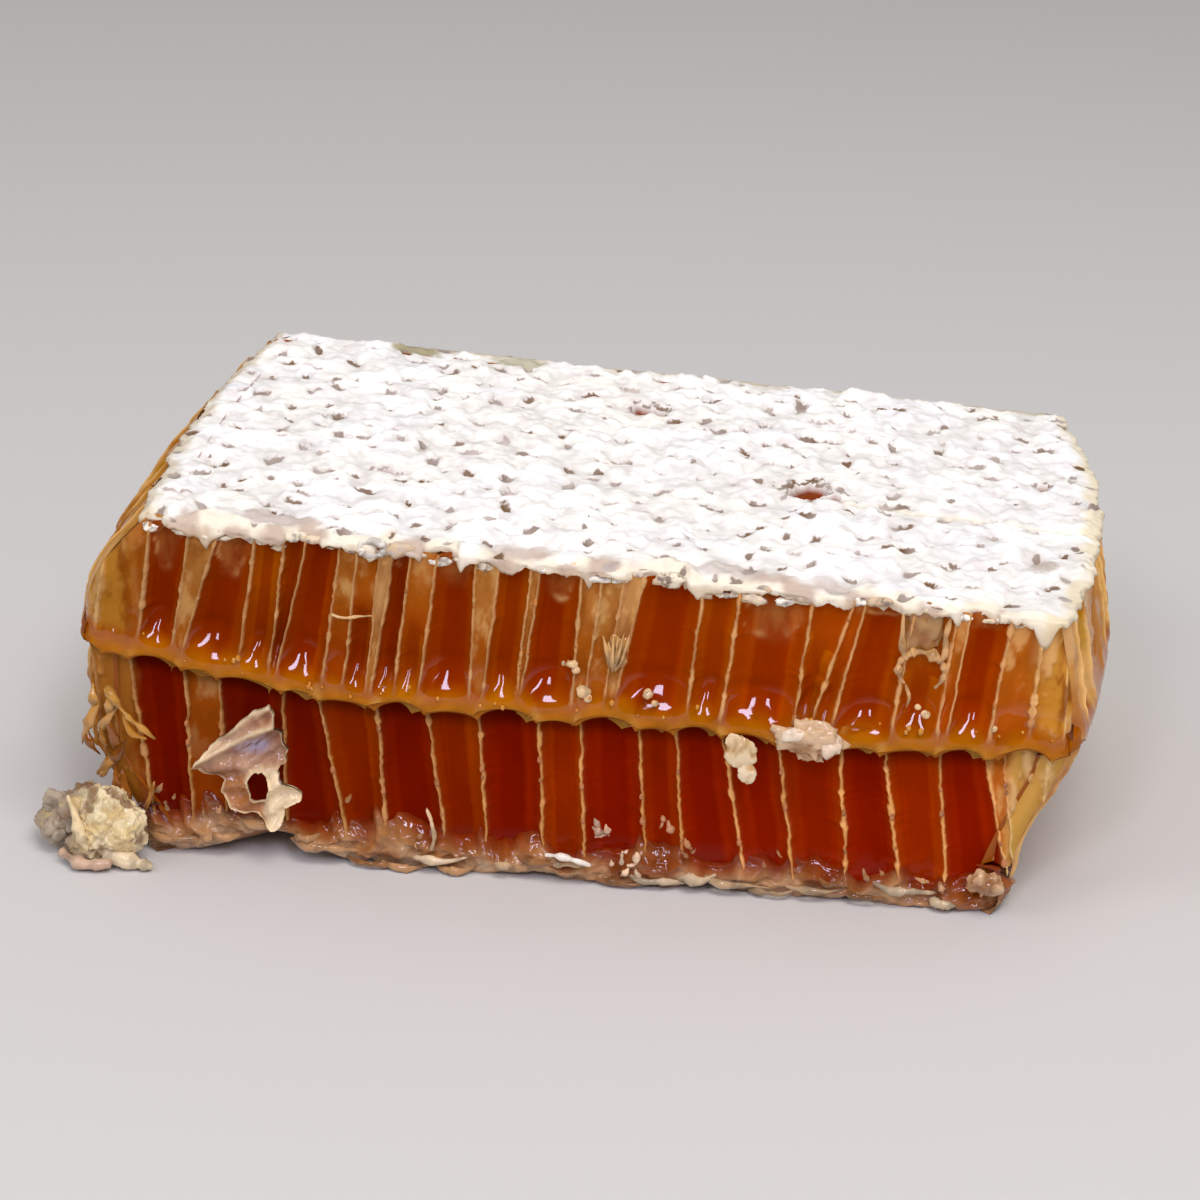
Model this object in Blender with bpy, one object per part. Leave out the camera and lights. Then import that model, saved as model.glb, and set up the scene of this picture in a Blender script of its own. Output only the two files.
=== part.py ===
"""Cut block of comb honey lying flat, built layer by layer.

A knife-cut slab of bee comb: white domed wax cappings on top, a layer of
honey-filled cells, the midrib that both cell layers share, a second layer of
cells that lean the other way, and the ragged cappings it rests on.  A wax
crumb lies against its lower left corner and a torn wax flap hangs on the
lower front.  Origin: bottom centre of the bounding box, +X along the width,
-Y is the long cut face, +Z up.
"""

import math

import bmesh
import bpy

MM = 0.001

# ---- block ------------------------------------------------------------------
FRONT_Y = -27.4        # long cut face
BACK_Y = 27.4          # far cut face
LEFT_TOP_X = -39.6     # left end at the top edge
RIGHT_TOP_X = 42.6     # right end at the top edge
TOP_Z = 32.9           # top of the cappings above the board, at x = 0
TOP_FALL = 0.0476      # the top falls to the right, mm per mm
LEFT_BOW = 2.3         # how far the left end bows out in plan
RIGHT_BOW = 3.9        # how far the right end bows out in plan
LEFT_BULGE = 7.2       # soft honey bulging out of the left end below the top edge
RIGHT_BULGE = 2.2      # the same at the right end
RIGHT_UNDERCUT = 3.0   # the right end draws in towards the board
LEFT_UNDERCUT = 5.2    # the torn lower left corner, from below the lower cells' middle
LIFT_X = -30.0         # the cappings are lifted off the board around here
LIFT_DEPTH = 3.6       # how far back the lifted edge reaches

# ---- cells ------------------------------------------------------------------
CELL = 5.36            # across flats of a worker cell
SIDE = CELL / math.sqrt(3.0)
UPPER_TURN = 2.93      # turn of the upper lattice against the cut, degrees
LOWER_TURN = 3.67      # turn of the lower lattice against the cut, degrees
UPPER_PHASE = (1.64, 2.08)
LOWER_PHASE = (6.01, 2.19)
UPPER_LEAN = 0.127     # cells rise towards +X going up, mm per mm
LOWER_LEAN = 0.106     # cells lean towards +X going down, mm per mm
RIM_LEVEL = 16.25      # lower edge of the midrib along the middle
RIM_CLIMB = 0.17       # its rise towards the left end, mm per mm
RIM_BEND = -21.6       # where that rise begins
RIM_EASE = 3.0         # how gently it begins
RIM_DIP = 0.85         # shallow dip towards the right
RIM_DIP_X = 26.4
RIM_DIP_WIDE = 12.0
WIDE_FLUTE = 1.3       # depth of the honey face in a cell cut through its middle
NARROW_FLUTE = 0.4     # depth in a cell cut along its wall
END_FLUTE = 0.8        # depth of the flutes on the two short ends

# ---- layers -----------------------------------------------------------------
CAP_THICK = 1.5        # white cappings, between the domes
DOME = 0.9             # rise of one domed capping
GAP = 0.3              # fitting gap between two layers
MIDRIB_THICK = 2.2     # midrib with the honey that pools on it
MIDRIB_PROUD = 0.75    # how far the midrib stands out of the cut face
ARCH = 0.9             # height of the arches on the lower edge of the midrib
LOWER_RECESS = 1.15    # how far the lower cells lie behind the upper ones
CAPS_BELOW = 3.6       # height of the ragged cappings on the board


def top_z(x):
    """Top of the cappings between the domes."""
    return TOP_Z - TOP_FALL * x


def midrib_z(x):
    """Lower edge of the midrib: level along the middle, climbing to the left end, dipping on the right."""
    left = RIM_BEND - x
    climb = RIM_CLIMB * 0.5 * (left + math.hypot(left, RIM_EASE))
    dip = RIM_DIP * math.exp(-((x - RIM_DIP_X) / RIM_DIP_WIDE) ** 2)
    return RIM_LEVEL + climb - dip


def wobble(a, b, seed):
    """Smooth repeatable unevenness between -1 and 1."""
    s = math.sin(a * 0.83 + seed * 1.7) + math.sin(b * 1.13 + seed * 2.3)
    s += math.sin(a * 0.41 - b * 0.57 + seed * 3.1) + math.sin(a * 1.9 + b * 1.7 + seed)
    return s * 0.25


def wall_positions(turn, phase, x_from, x_to):
    """Where the cut face crosses the cell walls of a turned hexagon lattice."""
    c = math.cos(math.radians(turn))
    s = math.sin(math.radians(turn))
    found = []
    for i in range(-12, 13):
        for j in range(-3, 4):
            cx = i * 1.5 * SIDE + phase[0]
            cy = (j + 0.5 * (i % 2)) * CELL + phase[1]
            for k in range(3):
                ends = []
                for q in (k, k + 1):
                    px = cx + SIDE * math.cos(math.radians(60.0 * q))
                    py = cy + SIDE * math.sin(math.radians(60.0 * q))
                    ends.append((c * px - s * py, s * px + c * py))
                (x0, y0), (x1, y1) = ends
                if y0 * y1 < 0.0:
                    t = y0 / (y0 - y1)
                    found.append(x0 + t * (x1 - x0))
    found.sort()
    walls = []
    for x in found:
        if x_from < x < x_to and (not walls or x - walls[-1] > 1.9):
            walls.append(x)
    return walls


def bell(value, centre, width):
    """Rounded bump, 1 at the centre and 0 beyond the width."""
    t = (value - centre) / width
    if abs(t) >= 1.0:
        return 0.0
    return 0.5 + 0.5 * math.cos(math.pi * t)


def left_x(y, z):
    """Left end: bows out in plan and bulges below the top edge."""
    bow = LEFT_BOW * max(0.0, 1.0 - ((y + 6.0) / 30.0) ** 2)
    rise = min(1.0, max(0.0, (top_z(LEFT_TOP_X) - z) / 11.0))
    bulge = LEFT_BULGE * math.sin(0.5 * math.pi * rise) * (1.0 - 0.25 * max(0.0, y) / 27.4)
    under = LEFT_UNDERCUT * min(1.0, max(0.0, 1.3 - z / 8.0))
    return LEFT_TOP_X - bow * (1.0 - 0.6 * rise) - bulge + under


def right_x(y, z):
    """Right end: bows out in plan, fullest at the midrib, drawn in at the board."""
    bow = RIGHT_BOW * max(0.0, 1.0 - ((y - 1.0) / 29.0) ** 2)
    full = RIGHT_BULGE * bell(z, 19.0, 15.0)
    under = RIGHT_UNDERCUT * max(0.0, 1.0 - z / 15.0)
    return RIGHT_TOP_X + bow * (0.35 + 0.65 * min(1.0, z / 20.0)) + full - under


def face_points(walls, z, shift, deep, shallow, seed):
    """Points (x, inset) along a cut face: walls stand out, honey lies behind."""
    x_lo = left_x(FRONT_Y, z)
    x_hi = right_x(FRONT_Y, z)
    marks = [x_lo]
    for w in walls:
        marks.append(w + shift)
    marks.append(x_hi)
    points = []
    for n in range(len(marks) - 1):
        a = marks[n]
        b = marks[n + 1]
        base = walls[n] - walls[n - 1] if 0 < n < len(walls) else 3.0
        wide = base > 4.6
        inset = 0.12 * wobble(a, z, seed)
        points.append((a, inset))
        steps = (0.2, 0.5, 0.8) if wide else (0.5,)
        depth = deep if wide else shallow
        for t in steps:
            sag = math.sin(math.pi * t) ** 0.6
            points.append((a + (b - a) * t, depth * sag * (0.85 + 0.15 * wobble(a, z, seed + 2)) + inset))
    points.append((x_hi, 0.0))
    return points


def ring(walls, z, lean, deep, shallow, recess, seed, zs=None):
    """One closed outline of a cell layer at height z."""
    mid = 0.5 * (top_z(0.0) + midrib_z(0.0)) if lean > 0.0 else 9.0
    shift = lean * (z - mid)
    pts = face_points(walls, z, shift, deep, shallow, seed)
    loop = []
    for x, inset in pts:
        loop.append((x, FRONT_Y + recess + inset))
    count = 11
    for j in range(1, 2 * count):
        t = j / (2.0 * count)
        y = FRONT_Y + recess + (BACK_Y - FRONT_Y - 2.0 * recess) * t
        dent = END_FLUTE if j % 2 else 0.0
        loop.append((right_x(y, z) - dent + 0.2 * wobble(y, z, seed + 5), y))
    for x, inset in reversed(pts):
        loop.append((x, BACK_Y - recess - inset))
    for j in range(1, 2 * count):
        t = j / (2.0 * count)
        y = BACK_Y - recess - (BACK_Y - FRONT_Y - 2.0 * recess) * t
        dent = END_FLUTE if j % 2 else 0.0
        loop.append((left_x(y, z) + dent + 0.2 * wobble(y, z, seed + 7), y))
    heights = zs if zs is not None else (lambda x: z)
    out = []
    for x, y in loop:
        out.append((x, y, heights(x)))
    return out, len(pts), 2 * count - 1


def finish_object(name, bm, colour, roughness):
    """Give a finished mesh its name and its look."""
    bmesh.ops.recalc_face_normals(bm, faces=bm.faces)
    if bm.calc_volume(signed=True) < 0.0:
        bmesh.ops.reverse_faces(bm, faces=bm.faces)
    mesh = bpy.data.meshes.new(name)
    bm.to_mesh(mesh)
    bm.free()
    obj = bpy.data.objects.new(name, mesh)
    bpy.context.scene.collection.objects.link(obj)
    mat = bpy.data.materials.new(name)
    mat.use_nodes = True
    shader = mat.node_tree.nodes["Principled BSDF"]
    shader.inputs["Base Color"].default_value = (colour[0], colour[1], colour[2], 1.0)
    shader.inputs["Roughness"].default_value = roughness
    shader.inputs["Metallic"].default_value = 0.0
    mesh.materials.append(mat)
    return obj


def place(bm, points):
    """Add points given in millimetres, measured from the part's origin."""
    verts = []
    for x, y, z in points:
        verts.append(bm.verts.new(((x - ORIGIN[0]) * MM, (y - ORIGIN[1]) * MM, z * MM)))
    return verts


def close_end(bm, loop, front_count, side_count):
    """Close one end of a layer with strips that run from front to back."""
    front = loop[:front_count]
    right = loop[front_count:front_count + side_count]
    back = loop[front_count + side_count:2 * front_count + side_count]
    left = loop[2 * front_count + side_count:]
    back = list(reversed(back))
    left = list(reversed(left))
    for n in range(front_count - 1):
        bm.faces.new((front[n], front[n + 1], back[n + 1], back[n]))
    bm.faces.new([front[-1]] + right + [back[-1]])
    bm.faces.new([front[0]] + left + [back[0]])


def layer(name, rings, colour, roughness):
    """Closed body through a stack of outlines."""
    bm = bmesh.new()
    loops = []
    for points, front_count, side_count in rings:
        loops.append(place(bm, points))
    total = len(loops[0])
    for lower, upper in zip(loops[:-1], loops[1:]):
        for n in range(total):
            m = (n + 1) % total
            bm.faces.new((lower[n], lower[m], upper[m], upper[n]))
    close_end(bm, loops[0], rings[0][1], rings[0][2])
    close_end(bm, loops[-1], rings[0][1], rings[0][2])
    return finish_object(name, bm, colour, roughness)


def arches(x):
    """Rounded arches along the lower edge of the midrib, one for each cell below."""
    marks = LOWER_WALLS
    for a, b in zip(marks[:-1], marks[1:]):
        if a <= x <= b:
            return ARCH * math.sin(math.pi * (x - a) / (b - a)) ** 0.7
    return 0.0


def build_upper_cells():
    """Honey-filled cells between the cappings and the midrib."""
    def bottom(x):
        return midrib_z(x) + MIDRIB_THICK + GAP

    def top(x):
        return top_z(x) - CAP_THICK - GAP

    rings = []
    for n in range(5):
        t = n / 4.0

        def height(x, t=t):
            return bottom(x) * (1.0 - t) + top(x) * t

        z = height(0.0)
        rings.append(ring(UPPER_WALLS, z, UPPER_LEAN, WIDE_FLUTE * (0.75 + 0.4 * math.sin(math.pi * t)),
                          NARROW_FLUTE, 0.0, 3, height))
    return layer("upper_cells", rings, (0.48, 0.16, 0.02), 0.15)


def build_midrib():
    """Shared base of both cell layers, proud of the cut, with an arched lower edge."""
    def bottom(x):
        return midrib_z(x) + arches(x)

    def top(x):
        return midrib_z(x) + MIDRIB_THICK

    rings = []
    for n, proud in enumerate((0.9, 1.0, 0.35)):
        t = n / 2.0

        def height(x, t=t):
            return bottom(x) * (1.0 - t) + top(x) * t

        z = height(0.0)
        rings.append(ring(LOWER_WALLS, z, 0.0001, 0.25, 0.15, -MIDRIB_PROUD * proud, 11, height))
    return layer("midrib", rings, (0.62, 0.30, 0.07), 0.25)


def build_lower_cells():
    """Second layer of honey-filled cells, behind the midrib's edge."""
    def bottom(x):
        return CAPS_BELOW + GAP + 0.35 * wobble(x, 0.0, 4)

    def top(x):
        return midrib_z(x) + arches(x) - GAP

    rings = []
    for n in range(5):
        t = n / 4.0

        def height(x, t=t):
            return bottom(x) * (1.0 - t) + top(x) * t

        z = height(0.0)
        rings.append(ring(LOWER_WALLS, z, -LOWER_LEAN if n < 4 else -0.0001, WIDE_FLUTE * (1.0 - 0.25 * t),
                          NARROW_FLUTE, LOWER_RECESS, 17, height))
    return layer("lower_cells", rings, (0.36, 0.09, 0.01), 0.15)


def build_bottom_cappings():
    """Ragged cappings and crushed wax that the block lies on, flat on the board."""
    def top(x):
        return CAPS_BELOW + 0.35 * wobble(x, 0.0, 4)

    rings = []
    stack = ((0.0, 1.2), (0.25, -0.3), (0.6, -0.9), (1.0, 0.3))
    for n, (t, recess) in enumerate(stack):
        def height(x, t=t):
            return top(x) * t

        z = height(0.0)
        points, front_count, side_count = ring(LOWER_WALLS, z, 0.0001, 0.3, 0.2, recess, 23, height)
        lumpy = []
        for x, y, zz in points:
            push = 0.75 * wobble(x * 1.3, y * 1.3 + z, 31) * (0.3 if n == 0 else 1.0)
            if y < -20.0:
                push += LIFT_DEPTH * bell(x, LIFT_X, 11.0) * (1.0, 0.75, 0.2, 0.0)[n]
            lumpy.append((x, y + (push if y < 0.0 else -push), zz))
        rings.append((lumpy, front_count, side_count))
    return layer("bottom_cappings", rings, (0.72, 0.52, 0.34), 0.5)


def build_top_cappings():
    """White wax cappings: one low dome over every cell, in the rows of the comb."""
    half_rows = 38
    half_cells = 20
    bm = bmesh.new()
    upper = []
    lower = []
    for i in range(half_rows + 1):
        u = i / half_rows
        row = i // 2
        line_u = []
        line_l = []
        for j in range(half_cells + 1):
            v = j / half_cells
            y = (FRONT_Y - 0.35) * (1.0 - v) + (BACK_Y + 0.2) * v
            x = left_x(y, 40.0) * (1.0 - u) + right_x(y, 31.0) * u
            if j == 0:
                y += 0.45 * wobble(x * 1.7, 0.0, 41)
            if j == half_cells:
                y -= 0.45 * wobble(x * 1.5, 3.0, 43)
            if i in (0, half_rows):
                x += 0.5 * wobble(y * 1.5, x, 47)
            edge = i in (0, half_rows) or j in (0, half_cells)
            centre = i % 2 == 0 and (j + row) % 2 == 0
            rise = DOME if centre else (0.25 * DOME if i % 2 else 0.0)
            rise += 0.35 * wobble(x, y, 53)
            z = top_z(x) + rise * (0.3 if edge else 1.0) - (0.55 if edge else 0.35)
            base = top_z(x) - CAP_THICK
            spread = 0.25 if j == 0 else 0.0
            line_u.append((x, y, z))
            line_l.append((x, y + spread, base))
        upper.append(place(bm, line_u))
        lower.append(line_l)
    for i in range(half_rows):
        for j in range(half_cells):
            bm.faces.new((upper[i][j], upper[i + 1][j], upper[i + 1][j + 1], upper[i][j + 1]))
    outline = []
    below = []
    order = []
    for i in range(half_rows):
        order.append((i, 0))
    for j in range(half_cells):
        order.append((half_rows, j))
    for i in range(half_rows, 0, -1):
        order.append((i, half_cells))
    for j in range(half_cells, 0, -1):
        order.append((0, j))
    for i, j in order:
        outline.append(upper[i][j])
        below.append(lower[i][j])
    base = place(bm, below)
    for n in range(len(order)):
        m = (n + 1) % len(order)
        bm.faces.new((base[n], base[m], outline[m], outline[n]))
    bm.faces.new(base)
    return finish_object("top_cappings", bm, (0.93, 0.89, 0.80), 0.45)


def build_crumb():
    """Crushed wax lump lying on the board against the lower left corner."""
    lobes = (
        ((-49.5, -26.9, 2.5), 2.6),
        ((-47.2, -27.4, 4.0), 2.8),
        ((-44.9, -29.0, 4.7), 2.9),
        ((-42.9, -30.3, 3.4), 2.4),
        ((-40.3, -30.6, 1.6), 1.5),
        ((-45.8, -29.6, 2.3), 2.6),
    )
    centre = (-45.6, -28.9, 3.0)
    bm = bmesh.new()
    bmesh.ops.create_icosphere(bm, subdivisions=3, radius=1.0)
    for vert in bm.verts:
        d = vert.co.normalized()
        reach = 0.0
        for (lx, ly, lz), r in lobes:
            ox = lx - centre[0]
            oy = ly - centre[1]
            oz = lz - centre[2]
            along = d.x * ox + d.y * oy + d.z * oz
            off = r * r - (ox * ox + oy * oy + oz * oz) + along * along
            if off > 0.0:
                reach = max(reach, along + math.sqrt(off))
        reach += 0.25 * wobble(d.x * 9.0 + d.z * 3.0, d.y * 8.0 + d.z * 5.0, 61)
        x = centre[0] + d.x * reach
        y = centre[1] + d.y * reach
        z = centre[2] + d.z * reach
        if z < 0.02:
            z = 0.02 + 0.06 * (1.0 + d.z)
        limit = -28.95 if x > -42.6 else -28.95 + 3.0 * (-42.6 - x)
        if y > limit:
            y = limit + 0.05 * (y - limit)
        vert.co = ((x - ORIGIN[0]) * MM, (y - ORIGIN[1]) * MM, z * MM)
    return finish_object("wax_crumb", bm, (0.80, 0.66, 0.48), 0.4)


def build_flap():
    """Torn wax flap hanging in front of the lower cells, with a small window torn in it."""
    outer = (
        (-36.6, 12.6), (-35.4, 14.4), (-33.4, 15.6), (-31.4, 16.3), (-29.9, 16.2), (-29.2, 14.6),
        (-28.8, 12.6), (-28.4, 10.4), (-27.6, 8.2), (-28.6, 7.2), (-30.4, 7.6), (-32.4, 8.5),
        (-34.4, 9.2), (-36.4, 10.0), (-37.6, 11.0), (-37.8, 12.0),
    )
    window = (
        (-32.9, 12.1), (-32.6, 12.8), (-31.9, 13.4), (-31.0, 13.6), (-30.5, 13.1), (-30.3, 12.3),
        (-30.4, 11.3), (-30.2, 10.4), (-30.5, 9.9), (-31.1, 9.9), (-31.9, 10.4), (-32.6, 10.9),
        (-33.1, 11.2), (-33.4, 11.5), (-33.4, 11.8), (-33.2, 12.0),
    )
    bm = bmesh.new()

    def skin(points, back):
        out = []
        for x, z in points:
            y = -29.5 - 0.55 * math.sin((x + 38.0) * 0.31) - 0.05 * (z - 12.0)
            out.append((x, y + (0.75 if back else 0.0), z))
        return place(bm, out)

    outer_front = skin(outer, False)
    outer_back = skin(outer, True)
    inner_front = skin(window, False)
    inner_back = skin(window, True)
    total = len(outer)
    for n in range(total):
        m = (n + 1) % total
        bm.faces.new((outer_front[n], outer_front[m], inner_front[m], inner_front[n]))
        bm.faces.new((outer_back[n], inner_back[n], inner_back[m], outer_back[m]))
        bm.faces.new((outer_front[n], outer_back[n], outer_back[m], outer_front[m]))
        bm.faces.new((inner_front[n], inner_front[m], inner_back[m], inner_back[n]))
    return finish_object("torn_flap", bm, (0.82, 0.60, 0.36), 0.35)


for old in list(bpy.data.objects):
    bpy.data.objects.remove(old)

ORIGIN = (-1.65, -2.07)
UPPER_WALLS = wall_positions(UPPER_TURN, UPPER_PHASE, -42.0, 39.5)
LOWER_WALLS = wall_positions(LOWER_TURN, LOWER_PHASE, -43.5, 39.0)

build_top_cappings()
build_upper_cells()
build_midrib()
build_lower_cells()
build_bottom_cappings()
build_crumb()
build_flap()
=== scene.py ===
"""Looks for a cut block of comb honey: white cappings, two layers of cells, midrib, ragged base."""
import math

import bpy
import numpy as np
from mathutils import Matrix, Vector


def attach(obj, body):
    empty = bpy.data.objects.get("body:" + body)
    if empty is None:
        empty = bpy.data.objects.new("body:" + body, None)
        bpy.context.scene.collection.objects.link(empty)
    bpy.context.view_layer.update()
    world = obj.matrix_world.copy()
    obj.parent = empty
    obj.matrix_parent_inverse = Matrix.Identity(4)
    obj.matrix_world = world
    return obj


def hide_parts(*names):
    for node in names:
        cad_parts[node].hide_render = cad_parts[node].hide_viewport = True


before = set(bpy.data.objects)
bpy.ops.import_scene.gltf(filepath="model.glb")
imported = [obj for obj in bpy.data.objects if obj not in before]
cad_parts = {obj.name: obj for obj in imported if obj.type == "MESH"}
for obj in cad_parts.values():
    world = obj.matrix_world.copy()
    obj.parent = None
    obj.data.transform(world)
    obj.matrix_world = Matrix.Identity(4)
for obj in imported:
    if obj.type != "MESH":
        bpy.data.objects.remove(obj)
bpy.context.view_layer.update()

MM = 0.001

# ---- the block, in millimetres in the part's own frame -----------------------
OX, OY = 1.65, 2.07            # from the block's own middle to the part's origin
YF, YB = -27.4 + OY, 27.4 + OY
CELL = 5.36                    # across the flats of a worker cell
SIDE = CELL / math.sqrt(3.0)
LONG, DEEP = 90.0, 54.0        # rounded length and depth, for stepping round the outline
END_LEFT, END_RIGHT = -46.0, 46.5
UPPER_TURN, LOWER_TURN = 2.93, 3.67    # turn of each lattice of cells against the cut, degrees
PHASE = (1.64, 2.08)           # a cell's middle in the upper lattice

# the midrib's lower rim: its level, the slope to the left of its bend, and the dip on the right
RIM_LEVEL, RIM_CLIMB, RIM_BEND, RIM_EASE = 16.25, 0.17, -21.6, 3.0
RIM_DIP, RIM_DIP_X, RIM_DIP_WIDE = 0.85, 26.4, 12.0


def top_plane(x):
    """The level of the white top, which falls a little to the right."""
    return 32.9 - 0.0476 * (x - OX)


def mid_low(x):
    """The midrib's lower rim: level along the middle, climbing to the left end, dipping on the right."""
    left = RIM_BEND - (x - OX)
    climb = RIM_CLIMB * 0.5 * (left + np.hypot(left, RIM_EASE))
    dip = RIM_DIP * np.exp(-((x - OX - RIM_DIP_X) / RIM_DIP_WIDE) ** 2)
    return RIM_LEVEL + climb - dip


def smooth(a, b, v):
    """An eased step from 0 at a to 1 at b."""
    t = np.clip((v - a) / (b - a), 0.0, 1.0)
    return t * t * (3.0 - 2.0 * t)


def bell(v, c, w):
    """A rounded hump of height 1 round c, zero beyond w."""
    t = np.clip(np.abs((v - c) / w), 0.0, 1.0)
    return 0.5 + 0.5 * np.cos(math.pi * t)


def left_x(y, z):
    """The left end's surface: bowed outward, bulging low down and tucked in at the foot."""
    yb = y - OY
    bow = 2.3 * np.maximum(0.0, 1.0 - ((yb + 6.0) / 30.0) ** 2)
    rise = np.clip((34.8 - z) / 11.0, 0.0, 1.0)
    bulge = 7.2 * np.sin(0.5 * math.pi * rise) * (1.0 - 0.25 * np.maximum(0.0, yb) / 27.4)
    under = 5.2 * np.clip(1.3 - z / 8.0, 0.0, 1.0)
    return -39.6 + OX - bow * (1.0 - 0.6 * rise) - bulge + under


def right_x(y, z):
    """The right end's surface: bowed outward, fullest halfway up."""
    yb = y - OY
    bow = 3.9 * np.maximum(0.0, 1.0 - ((yb - 1.0) / 29.0) ** 2)
    full = 2.2 * bell(z, 19.0, 15.0)
    under = 3.0 * np.maximum(0.0, 1.0 - z / 15.0)
    return 42.6 + OX + bow * (0.35 + 0.65 * np.minimum(1.0, z / 20.0)) + full - under


# ---- repeatable unevenness ----------------------------------------------------
def _hash(ix, iy, iz, seed):
    h = (ix * 73856093) ^ (iy * 19349663) ^ (iz * 83492791) ^ (seed * 2654435761 % 4294967296)
    h = (h ^ (h >> 13)) * 1274126177 & 0xFFFFFFFF
    h = (h ^ (h >> 16)) * 2246822519 & 0xFFFFFFFF
    return ((h ^ (h >> 15)) & 0xFFFFFF) / 16777215.0


def chance(i, j, seed):
    """A repeatable number from 0 to 1 for each cell."""
    return _hash(i, j + 0 * i, 0 * i, seed)


def noise(x, y, z, seed=0):
    """Smooth noise, -1 to 1."""
    x, y, z = np.broadcast_arrays(np.asarray(x, float), np.asarray(y, float), np.asarray(z, float))
    ix, iy, iz = [np.floor(v).astype(np.int64) for v in (x, y, z)]
    fx, fy, fz = x - ix, y - iy, z - iz
    fx, fy, fz = [f * f * (3.0 - 2.0 * f) for f in (fx, fy, fz)]
    out = 0.0
    for dx in (0, 1):
        for dy in (0, 1):
            for dz in (0, 1):
                w = (fx if dx else 1 - fx) * (fy if dy else 1 - fy) * (fz if dz else 1 - fz)
                out = out + w * _hash(ix + dx, iy + dy, iz + dz, seed)
    return out * 2.0 - 1.0


def fbm(x, y, z, seed=0, octaves=3, gain=0.5):
    """Noise of several scales added up."""
    total, amp, norm = 0.0, 1.0, 0.0
    for k in range(octaves):
        f = 2.0 ** k
        total = (total + amp * noise(np.asarray(x) * f + 11.3 * k, np.asarray(y) * f - 7.1 * k,
                                     np.asarray(z) * f + 3.7 * k, seed + k))
        norm += amp
        amp *= gain
    return total / norm


def fbm_at(points, scale, seed, octaves=3, gain=0.5):
    """The same noise at 3-D points."""
    return fbm(points[..., 0] * scale, points[..., 1] * scale, points[..., 2] * scale, seed, octaves, gain)


def lin(r, g, b):
    """sRGB 0-255 to linear."""
    c = np.array([r, g, b]) / 255.0
    return np.where(c <= 0.04045, c / 12.92, ((c + 0.055) / 1.055) ** 2.4)


def mix(a, b, t):
    t = np.asarray(t)[..., None]
    return np.asarray(a) * (1.0 - t) + np.asarray(b) * t


def tint(col, colour, share):
    """Lays one sRGB colour over the others by a share from 0 to 1."""
    return mix(col, lin(*colour), share)


def ramp(v, stops):
    """Colour ramp over scalar array: stops are (value, colour)."""
    xs = [s[0] for s in stops]
    return np.stack([np.interp(v, xs, [s[1][k] for s in stops]) for k in range(3)], -1)


# ---- mesh and material helpers -------------------------------------------------
def build(name, verts, quads, material, node, colours, wet, tris=None, pit=None):
    """One piece from points in millimetres, which stands in for a CAD node."""
    verts = np.asarray(verts, float).reshape(-1, 3) * MM
    quads = np.asarray(quads, np.int64).reshape(-1, 4) if quads is not None else np.zeros((0, 4), np.int64)
    tris = np.asarray(tris, np.int64).reshape(-1, 3) if tris is not None else np.zeros((0, 3), np.int64)
    mesh = bpy.data.meshes.new(name)
    mesh.vertices.add(len(verts))
    mesh.vertices.foreach_set("co", verts.ravel())
    loops = np.concatenate([quads.ravel(), tris.ravel()])
    mesh.loops.add(len(loops))
    mesh.loops.foreach_set("vertex_index", loops.astype(np.int32))
    starts = np.concatenate([np.arange(len(quads)) * 4, len(quads) * 4 + np.arange(len(tris)) * 3])
    mesh.polygons.add(len(quads) + len(tris))
    mesh.polygons.foreach_set("loop_start", starts.astype(np.int32))
    mesh.polygons.foreach_set("use_smooth", np.ones(len(starts), bool))
    mesh.update(calc_edges=True)
    mesh.validate()
    layer = mesh.color_attributes.new("tone", "FLOAT_COLOR", "POINT")
    rgba = np.ones((len(verts), 4), np.float32)
    rgba[:, :3] = np.clip(np.asarray(colours).reshape(-1, 3), 0.0, 1.0)
    layer.data.foreach_set("color", rgba.ravel())
    for label, values in (("wet", wet), ("pit", pit)):
        if values is not None:
            layer = mesh.attributes.new(label, "FLOAT", "POINT")
            layer.data.foreach_set("value", np.asarray(values, np.float32).ravel())
    obj = bpy.data.objects.new(name, mesh)
    bpy.context.scene.collection.objects.link(obj)
    mesh.materials.append(material)
    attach(obj, "root")
    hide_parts(node)
    return obj


def grid_quads(nr, nc, closed=False, flip=False):
    r = np.arange(nr - 1)[:, None]
    c = np.arange(nc if closed else nc - 1)[None, :]
    d = (c + 1) % nc
    q = np.stack([r * nc + c, r * nc + d, (r + 1) * nc + d, (r + 1) * nc + c], -1).reshape(-1, 4)
    return q[:, ::-1] if flip else q


def add_node(nt, kind, values=None, links=None, **modes):
    """Adds one shader node: its modes, the values of its sockets, and the outputs linked to its sockets."""
    made = nt.nodes.new("ShaderNode" + kind)
    for name, mode in modes.items():
        setattr(made, name, mode)
    for socket, value in (values or {}).items():
        made.inputs[socket].default_value = value
    for socket, source in (links or {}).items():
        nt.links.new(source, made.inputs[socket])
    return made


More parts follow.
